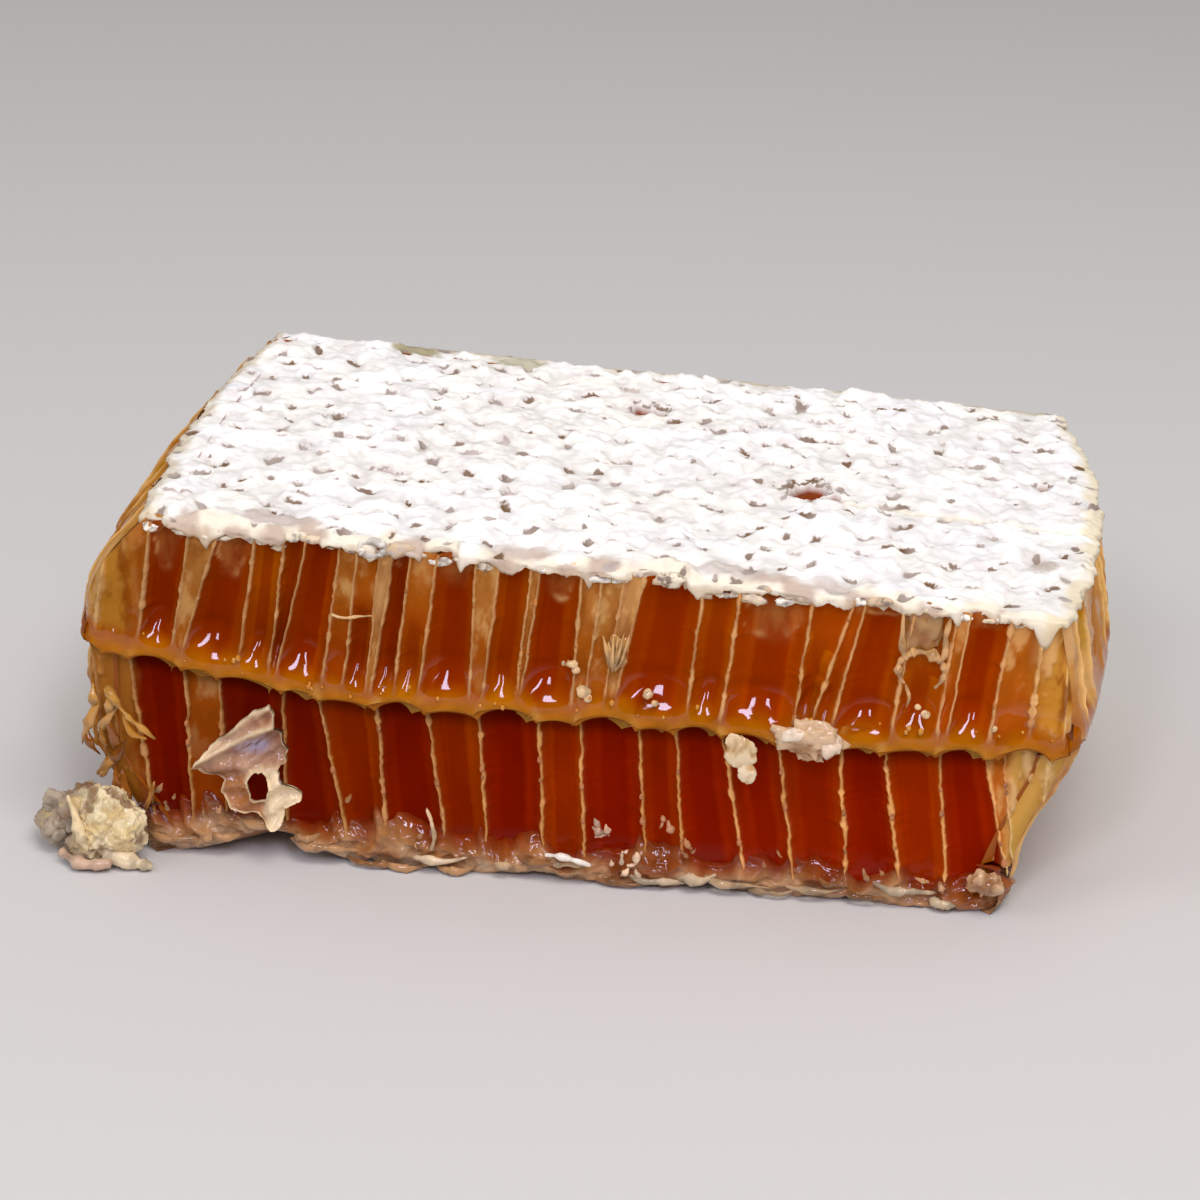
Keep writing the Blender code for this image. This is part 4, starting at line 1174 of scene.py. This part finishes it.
class Pile:
    """Several small closed lumps or strands gathered into one piece."""

    def __init__(self, face=0.0):
        """Places are given with y measured from face."""
        self.face, self.v, self.q, self.c, self.w, self.n = face, [], [], [], [], 0

    def grid(self, P, col, wet, flip=False):
        rows, cols = P.shape[:2]
        self.v.append(P.reshape(-1, 3))
        self.q.append(grid_quads(rows, cols, closed=True, flip=flip) + self.n)
        self.c.append(np.broadcast_to(col, P.shape).reshape(-1, 3))
        self.w.append(np.broadcast_to(wet, P.shape[:2]).ravel())
        self.n += rows * cols

    def lump(self, at, size, tone, wet=0.7, rough=0.25, seed=1, tone2=None, detail=11, lean=0.0):
        d = sphere(detail, 0.02)
        at = np.array(at, float) + (0.0, self.face, 0.0)
        size = np.array(size, float)
        q = d * size
        k = fbm_at(q + at, 0.9, seed, 4, 0.65)
        q = q * (1.0 + 2.2 * rough * k)[..., None]
        q[..., 0] += lean * q[..., 2]
        P = at + q
        P[..., 2] = np.maximum(P[..., 2], 0.02)
        # painted shade: the darker tone2 is laid in the dents, where the lump's surface is pushed in
        tone2 = tone * 0.55 if tone2 is None else tone2
        self.grid(P, mix(tone2, tone, smooth(-0.35, 0.2, k)), wet, flip=True)

    def strand(self, points, radii, tone, wet=0.6, seed=1, flat=1.0, tone2=None, closed=False):
        pts = np.array(points, float) + (0.0, self.face, 0.0)
        if closed:
            pts = np.concatenate([pts, pts[:1]])
            radii = list(radii) + [radii[0]]
        m = max(8, 7 * (len(pts) - 1))
        t = np.linspace(0.0, len(pts) - 1.0, m)
        i = np.minimum(t.astype(int), len(pts) - 2)
        f = (t - i)[:, None]
        if closed:
            p0, p3 = pts[(i - 1) % (len(pts) - 1)], pts[(i + 2) % (len(pts) - 1)]
        else:
            p0, p3 = pts[np.maximum(i - 1, 0)], pts[np.minimum(i + 2, len(pts) - 1)]
        p1, p2 = pts[i], pts[i + 1]
        c = 0.5 * (2 * p1 + (p2 - p0) * f + (2 * p0 - 5 * p1 + 4 * p2 - p3) * f ** 2
                   + (3 * p1 - p0 - 3 * p2 + p3) * f ** 3)
        rad = np.interp(t, np.arange(len(pts)), radii)
        c = c + 0.14 * np.stack([fbm(t * 0.9, 0.0 * t, k * 3.0, seed, 3) for k in range(3)], -1)
        rad = rad * (1.0 + 0.9 * fbm(t * 1.7, 0.0 * t, 7.0, seed + 1, 3, 0.6))
        if not closed:
            rad[0] = rad[-1] = 0.02
        tan = np.gradient(c, axis=0)
        tan /= np.maximum(np.linalg.norm(tan, axis=1), 1e-6)[:, None]
        n1 = np.cross(tan, np.array([0.0, 1.0, 0.0]) + 1e-3)
        n1 /= np.maximum(np.linalg.norm(n1, axis=1), 1e-6)[:, None]
        n2 = np.cross(tan, n1)
        a = np.linspace(0.0, 2.0 * math.pi, 9, endpoint=False)
        P = (c[:, None, :] + rad[:, None, None]
             * (np.cos(a)[None, :, None] * n1[:, None, :]
                + flat * np.sin(a)[None, :, None] * n2[:, None, :]))
        k = fbm_at(P, 0.9, seed + 2, 3)
        tone2 = tone * 0.6 if tone2 is None else tone2
        self.grid(P, mix(tone2, tone, smooth(-0.3, 0.15, k)), wet, flip=True)

    def done(self, name, material, node):
        build(name, np.concatenate(self.v), np.concatenate(self.q), material, node, np.concatenate(self.c),
              np.concatenate(self.w))


def pick(n, seed):
    """n repeatable numbers from 0 to 1."""
    k = np.arange(n)
    return chance(k, 3, seed)


def crumb():
    """The crushed lump at the front left corner, with its crumbs and strands."""
    c = np.array([-45.6 + OX, -28.9 + OY, 3.0])
    lobes = [((-49.5 + OX, -26.9 + OY, 2.5), 2.4), ((-47.6 + OX, -27.2 + OY, 4.0), 2.5),
             ((-44.9 + OX, -29.0 + OY, 4.4), 2.8), ((-43.1 + OX, -29.8 + OY, 3.4), 2.3),
             ((-45.8 + OX, -29.4 + OY, 2.3), 2.5)]
    P, d, k = lump_mesh(lobes, c, 120, 1.1, 601)
    P = P + d * (0.35 * fbm_at(P, 1.4, 607, 3, 0.6) * smooth(-44.5, -47.5, P[..., 0]))[..., None]
    P[..., 2] = np.maximum(P[..., 2], 0.02)
    x = P[..., 0]
    grey = lin(166, 146, 122)
    cream = lin(236, 216, 172)
    n = fbm_at(P, 0.7, 611, 3)
    col = mix(grey, cream, smooth(-46.4, -44.4, x + 1.2 * n))
    col = tint(col, (208, 176, 112), 0.7 * smooth(0.0, 0.35, n))
    # partly random brown, partly painted shade in the dents where the lump is pushed in
    col = tint(col, (128, 88, 48), 0.8 * smooth(0.0, -0.5, n + k * 0.6))
    wet = smooth(-46.5, -44.4, x) * 0.75 + 0.15
    build("crumb", P, grid_quads(*P.shape[:2], closed=True, flip=True), M_BASE, "wax_crumb", col, wet)
    pile = Pile()
    grey = lin(176, 158, 134)
    r = pick(60, 615)
    for n in range(14):
        pile.lump((-49.2 + 3.4 * r[n], -26.4 + 2.0 * r[n + 14] - 0.8, 0.8 + 4.6 * r[n + 28]),
                  0.45 + 0.75 * r[n + 42] * np.ones(3), grey, 0.3, 0.35, 620 + n)
    pile.strand([(-43.2, -28.8, 1.4), (-41.4, -29.0, 1.2), (-39.6, -29.2, 0.7), (-38.4, -29.3, 0.5)],
                [0.9, 0.75, 0.6, 0.4], lin(234, 210, 170), 0.8, 641)
    pile.strand([(-46.8, -27.6, 6.6), (-46.0, -28.6, 5.2), (-45.2, -29.6, 3.6), (-44.4, -30.2, 2.2)],
                [0.12, 0.35, 0.5, 0.3], lin(232, 206, 160), 0.7, 643)
    pile.strand([(-47.4, -28.6, 1.2), (-45.6, -29.9, 0.9), (-43.8, -30.2, 0.8), (-42.2, -29.8, 0.9)],
                [0.5, 0.6, 0.55, 0.4], lin(206, 170, 142), 0.5, 645)
    pile.done("crumb_bits", M_BASE, "wax_crumb")


crumb()


def flap():
    """The torn, holed sheet hanging on the lower cells."""
    outer = np.array([(-34.7, 10.9), (-33.6, 12.3), (-32.2, 13.5), (-30.6, 14.9), (-29.2, 15.9),
                      (-27.6, 16.6), (-27.2, 15.2), (-26.5, 13.6), (-26.1, 12.2), (-26.2, 11.0),
                      (-26.9, 10.2), (-26.5, 9.2), (-25.9, 8.8), (-24.9, 8.4), (-24.6, 7.4), (-25.6, 6.7),
                      (-26.2, 6.4), (-26.3, 5.2), (-27.0, 4.2), (-27.9, 4.4), (-28.6, 5.6), (-30.0, 5.4),
                      (-31.4, 6.0), (-32.3, 7.5), (-32.0, 8.9), (-33.0, 9.5), (-34.2, 10.0)])
    inner = np.array([(-29.7, 8.9), (-29.5, 9.5), (-29.0, 9.8), (-28.4, 9.9), (-27.9, 9.6), (-27.8, 9.2),
                      (-27.7, 8.7), (-27.65, 8.1), (-27.8, 7.5), (-28.0, 7.0), (-28.5, 6.8), (-29.0, 6.9),
                      (-29.5, 7.3), (-29.7, 7.9), (-29.75, 8.4)])

    def loop(a, n, about):
        """n places round an outline, with their angle about a middle."""
        k = len(a)
        at = np.linspace(0, k, n, endpoint=False)
        out = np.stack([np.interp(at, np.arange(k + 1), np.r_[a[:, c], a[0, c]]) for c in (0, 1)], -1)
        ang = np.unwrap(np.arctan2(out[:, 1] - about[1], out[:, 0] - about[0]))
        return out, ang

    n = 240
    o, oa = loop(outer, n, (-28.8, 8.4))
    i, ia = loop(inner, n, (-28.8, 8.4))
    order = np.argsort(np.mod(ia, 2 * math.pi))
    want = np.mod(oa, 2 * math.pi)
    have = np.mod(ia, 2 * math.pi)[order]
    i = np.stack([np.interp(want, have, i[order, c], period=2 * math.pi) for c in (0, 1)], -1)
    rows = 40
    s = np.linspace(0.0, 1.0, rows)[:, None, None]
    q = o[None] * (1 - s) + i[None] * s
    x, z = q[..., 0], q[..., 1]
    rag = 0.22 * smooth(0.12, 0.0, np.minimum(s[..., 0], 1 - s[..., 0]))
    x = x + rag * fbm(x * 1.8, z * 1.8, 0.0, 701, 3)
    z = z + rag * fbm(x * 1.8, z * 1.8, 4.0, 702, 3)
    ridge = z - (11.4 + 0.47 * (x + 34.4))
    upper = smooth(9.0, 11.0, z)
    y = YF - 0.35 - 2.3 * smooth(-27.0, -35.0, x) * upper - 0.7 * (1.0 - upper)
    y = y - 0.75 * np.exp(-(ridge / 0.55) ** 2) * upper
    y = y + 1.0 * np.exp(-(((x + 29.6) / 2.4) ** 2 + ((z - 12.2) / 1.3) ** 2))
    y = y - 0.6 * np.exp(-(((x + 27.2) / 0.7) ** 2)) * smooth(11.0, 9.0, z)
    y = y + 0.55 * fbm(x * 0.55, z * 0.55, 1.0, 703, 4, 0.6) + 0.22 * np.sin(ridge * 3.1 + 1.2 * np.sin(x))
    edge = np.minimum(s[..., 0], 1.0 - s[..., 0])
    y = y - 0.25 * smooth(0.10, 0.0, edge)
    front = np.stack([x, y, z], -1)
    back = front + np.array([0.0, 0.4, 0.0])
    P = np.concatenate([front, back[::-1]])
    cream = lin(236, 210, 166)
    mottled = np.clip(0.5 + 1.2 * fbm(x * 0.9, z * 0.9, 0.0, 707, 3), 0, 1)
    col = mix(lin(150, 96, 66), lin(198, 156, 122), mottled)
    # painted shade: grey-mauve in the sunken pocket
    mauve = np.exp(-(((x + 29.4) / 2.2) ** 2 + ((z - 12.3) / 1.2) ** 2))
    col = tint(col, (140, 104, 104), 0.8 * mauve)
    # painted highlight: a pale violet spot in the pocket
    col = tint(col, (206, 196, 216), 0.8 * mauve
               * smooth(0.25, 0.5, 0.5 + fbm(x * 0.8 + z * 0.8, (x - z) * 3.0, 0.0, 709, 2))
               * smooth(0.4, 0.9, mauve))
    low_left = smooth(9.8, 8.8, z) * smooth(-27.9, -28.8, x)
    col = tint(col, (168, 104, 50), 0.75 * low_left)
    column = smooth(10.8, 9.6, z) * smooth(-28.6, -27.7, x)
    col = tint(col, (242, 218, 176), 0.85 * column)
    col = mix(col, cream, 0.85 * np.exp(-((ridge + 0.1) / 0.32) ** 2) * upper)
    col = mix(col, cream, 0.75 * smooth(0.12, 0.02, edge))
    # painted shade: the back of the sheet is a 30% darker copy of its front
    C = np.concatenate([col, col[::-1] * 0.7])
    build("flap_sheet", P, grid_quads(P.shape[0], P.shape[1], closed=True), M_BASE, "torn_flap", C,
          np.full(P.shape[:2], 0.6))


flap()


# ---- torn bits of wax and beads of honey -------------------------------------------------
def upper_bits():
    """Torn cell mouth, ledge, fan of strands and crumbs on the upper cells."""
    tan = lin(214, 162, 104)
    pile = Pile(YF)
    turns = np.linspace(math.radians(-52.0), math.radians(232.0), 11)
    mouth = [(32.3 + 2.1 * math.cos(a), -0.25 + 0.15 * math.cos(3 * a), 24.6 + 1.9 * math.sin(a))
             for a in turns]
    pile.strand(mouth, [0.12, 0.30, 0.42, 0.26, 0.46, 0.30, 0.44, 0.26, 0.38, 0.24, 0.10], tan, 0.8, 901)
    pile.strand([(30.9, -0.2, 23.2), (31.3, -0.3, 21.9), (31.1, -0.25, 20.9)],
                [0.26, 0.2, 0.1], tan, 0.8, 902)
    pile.lump((32.2, 0.25, 28.6), (1.9, 0.35, 2.6), lin(176, 132, 78), 0.8, 0.3, 903, tone2=lin(150, 92, 34),
              detail=18)
    pile.strand([(30.4, -0.1, 30.6), (30.3, -0.3, 28.6), (30.5, -0.3, 26.6), (31.0, -0.3, 25.6)],
                [0.12, 0.3, 0.34, 0.2], tan, 0.7, 904)
    pile.strand([(34.6, -0.1, 30.2), (34.3, -0.3, 28.2), (34.2, -0.3, 26.4), (33.6, -0.3, 25.6)],
                [0.12, 0.28, 0.3, 0.2], tan, 0.7, 905)
    pile.strand([(-22.0, -0.05, 26.1), (-20.8, -0.2, 25.9), (-19.4, -0.2, 26.1), (-18.0, -0.05, 26.2)],
                [0.08, 0.17, 0.2, 0.08], lin(222, 178, 122), 0.6, 907)
    r = pick(200, 911)
    for n in range(6):
        foot_x = 4.3 + 0.5 * (r[n] - 0.5)
        tip_x = 3.3 + 2.4 * n / 5.0
        tip_z = 25.4 + 1.2 * r[n + 9]
        pile.strand([(foot_x, -0.3, 22.4), (0.5 * (foot_x + tip_x), -0.75, 23.9), (tip_x, -0.35, tip_z)],
                    [0.10, 0.16 + 0.12 * r[n + 18], 0.06], lin(208, 160, 102), 0.9, 920 + n)
    pile.lump((4.4, -0.15, 24.2), (1.15, 0.35, 1.7), lin(186, 132, 70), 0.9, 0.35, 929, detail=14)
    for at, size in (((1.7, -0.3, 20.3), 0.62), ((2.1, -0.3, 19.5), 0.4), ((0.4, -0.25, 22.8), 0.5),
                     ((0.9, -0.2, 22.3), 0.35), ((-0.3, -0.2, 22.9), 0.3), ((7.6, -0.4, 20.4), 0.5),
                     ((8.3, -0.5, 19.6), 0.34), ((33.0, -0.4, 20.4), 0.4), ((32.2, -0.3, 21.0), 0.28),
                     ((39.2, -0.4, 19.4), 0.34)):
        pile.lump(at, np.array([1.0, 0.8, 1.0]) * size, lin(230, 192, 140), 1.0, 0.35,
                  int(930 + 10 * at[0]) % 997)
    for n in range(22):
        w = UPPER[int(r[n] * 29.9) % 30]
        z = 20.8 + 9.0 * r[n + 50]
        x = wall_at(w, UPPER_LEVELS, z)
        pile.lump((x, -0.05, z), (0.08 + 0.12 * r[n + 100]) * np.array([1.0, 0.7, 1.8]), lin(196, 120, 50),
                  0.8, 0.3, 940 + n, detail=7)
    pile.done("upper_bits", M_BASE, "upper_cells")


def midrib_bits():
    """The wax blob, the hanging scrap and beads of honey on the midrib."""
    pile = Pile(YF)
    pile.lump((22.8, -0.75, 17.0), (2.9, 0.95, 1.75), lin(216, 180, 140), 1.0, 0.42, 1001,
              tone2=lin(168, 116, 66), detail=30)
    pile.lump((21.3, -1.0, 17.6), (1.1, 0.75, 0.8), lin(236, 216, 190), 1.0, 0.5, 1003,
              tone2=lin(184, 138, 92), detail=18)
    pile.lump((24.6, -1.05, 16.7), (1.1, 0.7, 1.1), lin(232, 206, 176), 1.0, 0.5, 1005,
              tone2=lin(176, 124, 76), detail=18)
    pile.lump((16.3, -0.6, 15.4), (1.55, 0.42, 1.7), lin(232, 206, 164), 0.9, 0.2, 1007,
              tone2=lin(182, 138, 78), detail=22, lean=-0.15)
    pile.lump((17.0, -0.7, 13.4), (0.85, 0.32, 1.25), lin(238, 216, 178), 0.9, 0.2, 1009,
              tone2=lin(206, 160, 104), detail=16)
    r = pick(120, 1011)
    for n in range(36):
        x = -43.0 + 88.0 * r[n]
        pile.lump((x, -0.62, mid_low(x) + 1.5 + 2.4 * r[n + 40]),
                  (0.10 + 0.22 * r[n + 80] ** 2) * np.array([1.0, 0.7, 1.3]), lin(206, 140, 50), 1.0, 0.2,
                  1020 + n, tone2=lin(190, 112, 16), detail=7)
    pile.done("midrib_bits", M_BASE, "midrib")


def lower_bits():
    """Shreds at the left end, strands, chips and beads on the lower cells."""
    pile = Pile(YF + 0.2)
    pile.strand([(-43.4, 0.0, 17.2), (-42.4, -0.6, 15.8), (-41.0, -0.9, 14.4), (-39.6, -0.7, 13.2),
                 (-38.6, -0.4, 12.2)], [0.25, 0.5, 0.42, 0.3, 0.12], lin(196, 140, 62), 0.6, 1101)
    pile.strand([(-41.6, -0.5, 14.6), (-41.0, -0.7, 12.8), (-39.4, -0.6, 12.3)], [0.2, 0.35, 0.15],
                lin(186, 126, 44), 0.6, 1103)
    r = pick(120, 1109)
    for n in range(14):
        z = 5.0 + 11.0 * (n + r[n]) / 14.0
        x = left_x(YF, z) + 0.6 + 2.2 * r[n + 20]
        long_ = 1.0 + 1.8 * r[n + 40]
        turn = math.radians(50.0 + 60.0 * r[n + 60])
        tip = (long_ * math.cos(turn), long_ * math.sin(turn))
        tone = (lin(172, 110, 38), lin(196, 142, 74), lin(142, 80, 22),
                lin(186, 126, 52))[int(r[n + 80] * 3.99)]
        path = [(x - tip[0], 0.4, z - tip[1]), (x + 0.3 * (r[n + 20] - 0.5), -0.5, z),
                (x + tip[0], -0.1, z + tip[1])]
        pile.strand(path, [0.12, 0.30 + 0.30 * r[n + 40], 0.08], tone, 0.8, 1160 + n, flat=0.6)
    pile.strand([(-12.5, 0.0, 2.3), (-12.2, -0.3, 4.0), (-12.5, -0.3, 5.6), (-13.0, 0.0, 6.8)],
                [0.3, 0.3, 0.24, 0.1], lin(226, 190, 146), 0.8, 1105)
    pile.strand([(-1.6, -0.6, 3.1), (-0.2, -1.0, 3.3), (1.4, -1.0, 2.9), (2.9, -0.8, 2.4)],
                [0.15, 0.32, 0.3, 0.15], lin(244, 232, 214), 0.9, 1107)
    r = pick(400, 1111)
    k = 0
    for cx, cz, spread, count, tone in ((3.7, 6.0, 0.9, 4, lin(196, 156, 128)),
                                        (9.6, 7.0, 0.8, 3, lin(172, 120, 84)),
                                        (12.0, 4.6, 0.9, 3, lin(170, 116, 74)),
                                        (6.1, 2.5, 1.8, 7, lin(216, 184, 150)),
                                        (-20.4, 7.6, 0.7, 1, lin(166, 104, 56)),
                                        (-14.0, 3.2, 1.2, 2, lin(178, 128, 82)),
                                        (20.2, 4.2, 1.6, 2, lin(160, 106, 64)),
                                        (29.0, 3.6, 1.2, 2, lin(178, 126, 80)),
                                        (34.6, 3.2, 1.6, 2, lin(176, 130, 90)),
                                        (-37.8, 6.2, 1.6, 3, lin(150, 104, 70)),
                                        (-33.8, 5.0, 1.2, 2, lin(172, 122, 82))):
        for n in range(count):
            a = 2.39996 * n + cx
            d = spread * math.sqrt((n + 0.5) / count)
            turn = math.pi * (0.25 + 0.5 * r[k + 1]) if n % 3 else math.pi * r[k + 1]
            half = 0.30 + 0.50 * r[k]
            px, pz = cx + d * math.cos(a), cz + 0.8 * d * math.sin(a)
            tip = (half * math.cos(turn), half * math.sin(turn))
            wide = 0.18 + 0.20 * r[k]
            pile.strand([(px - tip[0], 0.0, pz - tip[1]), (px, -0.35, pz), (px + tip[0], -0.1, pz + tip[1])],
                        [0.08, wide, 0.06], tone * 1.25, 1.0, 1120 + k)
            k += 2
    pile.lump((39.6, -0.6, 3.5), (1.7, 1.0, 1.25), lin(206, 168, 126), 1.0, 0.3, 1301,
              tone2=lin(152, 100, 58), detail=20)
    for w in LOWER:
        for n in range(2):
            z = 5.0 + 10.0 * r[k]
            x = wall_at(w, LOWER_LEVELS, z)
            pile.lump((x, 0.35, z), (0.10 + 0.14 * r[k + 1]) * np.array([1.1, 0.7, 2.0]), lin(190, 120, 70),
                      0.7, 0.4, 1320 + k, detail=6)
            k += 2
    pile.done("lower_bits", M_BASE, "lower_cells")


def base_lumps():
    """Long folds of wax along the wet base."""
    pile = Pile(YF)
    r = pick(600, 1401)
    k = 0
    for n in range(22):
        x = -38.0 + 76.0 * (n + r[k]) / 22.0
        on_left = float(smooth(4.0, -14.0, np.array(x)))
        long_ = 1.2 + 2.4 * r[k + 1]
        floor_gap = 2.7 * float(bell(np.array(x), -28.0, 9.5))
        z = 0.45 + floor_gap + 1.7 * r[k + 2] ** 1.6
        wide = 0.22 + 0.42 * r[k + 4]
        tone = (lin(208, 172, 130), lin(186, 138, 92), lin(226, 198, 160),
                lin(160, 108, 64))[int(r[k + 3] * 3.99)]
        tone = mix(tone * 0.72, tone, 0.3 + 0.7 * on_left)
        bend = 0.9 * (r[k + 5] - 0.5)
        path = [(x - long_, 0.7, z + bend), (x - 0.4 * long_, -0.15, z),
                (x + 0.3 * long_, -0.2, z + 0.3 * bend), (x + long_, 0.6, z - bend)]
        pile.strand(path, [0.1, wide, 0.8 * wide, 0.1], tone, 0.4 + 0.6 * r[k + 5], 1410 + n, flat=0.8)
        k += 6
    pile.done("base_lumps", M_BASE, "bottom_cappings")


def capping_crumbs():
    """The crumbling edge of the white cappings, and one small loop of wax."""
    pile = Pile(YF)
    r = pick(900, 1501)
    k = 0
    for n in range(60):
        x = -40.0 + 84.0 * (n + r[k]) / 60.0
        s = 0.25 + 0.45 * r[k + 1] ** 1.5
        z = top_plane(x) - 0.7 - 1.1 * r[k + 2]
        tone = (lin(250, 242, 226), lin(240, 226, 198), lin(214, 186, 152),
                lin(230, 208, 176))[int(r[k + 3] * 3.99)]
        pile.lump((x, 0.05 + 0.3 * r[k + 4], z), s * np.array([1.8, 0.7, 0.8]), tone, 0.5, 0.7, 1510 + n,
                  tone2=tone * 0.85, detail=10)
        k += 5
    turns = np.linspace(0, 2 * math.pi, 9)[:-1]
    loop = [(-18.0 + 1.15 * math.sin(a), -0.2, 33.0 + 0.75 * math.cos(a)) for a in turns]
    pile.strand(loop, [0.26, 0.3, 0.24, 0.34, 0.26, 0.3, 0.28, 0.24], lin(246, 238, 222), 0.5, 1601,
                closed=True)
    pile.done("capping_crumbs", M_CAPS, "top_cappings")


upper_bits()
midrib_bits()
lower_bits()
base_lumps()
capping_crumbs()


# ---- floor, light and camera -----------------------------------------------------------
LAMPS = (                      # name, place, width and height in metres, watts, colour
    ("key", (0.18, -0.28, 0.62), (0.34, 0.22), 2.1, (1.0, 0.97, 0.93)),
    ("fill", (-0.55, -0.35, 0.45), (0.30, 0.30), 1.0, (0.95, 0.97, 1.0)),
    ("top", (0.02, 0.05, 0.75), (0.30, 0.5), 0.6, (1.0, 0.99, 0.97)),
    ("pane_left", (-0.15, -0.64, 0.56), (0.10, 0.22), 1.3, (0.78, 0.76, 1.0)),
    ("pane_right", (0.23, -0.62, 0.56), (0.10, 0.22), 1.3, (0.78, 0.76, 1.0)),
)
AIM = np.array([0, 0, 0.02])   # the lamps look at the block's middle
FLOOR_HALF = 3.0


def place_lamp(name, place, size, power, colour):
    """One soft rectangular lamp; only the panes show in reflections."""
    lamp = bpy.data.lights.new(name, "AREA")
    lamp.shape = "RECTANGLE"
    lamp.size, lamp.size_y = size
    lamp.energy = power
    lamp.color = colour
    ob = bpy.data.objects.new(name, lamp)
    ob.location = place
    ob.rotation_euler = Vector(-np.array(place) + AIM).to_track_quat("-Z", "Y").to_euler()
    ob.visible_glossy = name.startswith("pane")
    bpy.context.scene.collection.objects.link(ob)


def place_camera():
    """The photograph's view."""
    cam = bpy.data.cameras.new("camera")
    cam.lens = 96.0
    cam.sensor_width = 36.0
    cam.clip_start = 0.01
    ob = bpy.data.objects.new("camera", cam)
    ob.location = (0.02913, -0.29103, 0.14376)
    ob.rotation_euler = (math.radians(66.790), math.radians(-1.523), math.radians(6.292))
    bpy.context.scene.collection.objects.link(ob)
    bpy.context.scene.camera = ob


def stage():
    """Pale floor, dim even surroundings, the lamps and the camera."""
    me = bpy.data.meshes.new("floor")
    s = FLOOR_HALF
    me.from_pydata([(-s, -s, 0), (s, -s, 0), (s, s, 0), (-s, s, 0)], [], [(0, 1, 2, 3)])
    floor = bpy.data.objects.new("floor", me)
    bpy.context.scene.collection.objects.link(floor)
    mat = bpy.data.materials.new("floor")
    mat.use_nodes = True
    sh = mat.node_tree.nodes["Principled BSDF"]
    sh.inputs["Base Color"].default_value = (0.62, 0.60, 0.57, 1)
    sh.inputs["Roughness"].default_value = 0.9
    me.materials.append(mat)
    world = bpy.data.worlds.new("studio")
    world.use_nodes = True
    sky = world.node_tree.nodes["Background"]
    sky.inputs["Color"].default_value = (0.96, 0.98, 1.0, 1)
    sky.inputs["Strength"].default_value = 0.40
    bpy.context.scene.world = world
    world.cycles_visibility.glossy = False
    for lamp in LAMPS:
        place_lamp(*lamp)
    place_camera()
    bpy.context.scene.view_settings.view_transform = "Standard"


stage()
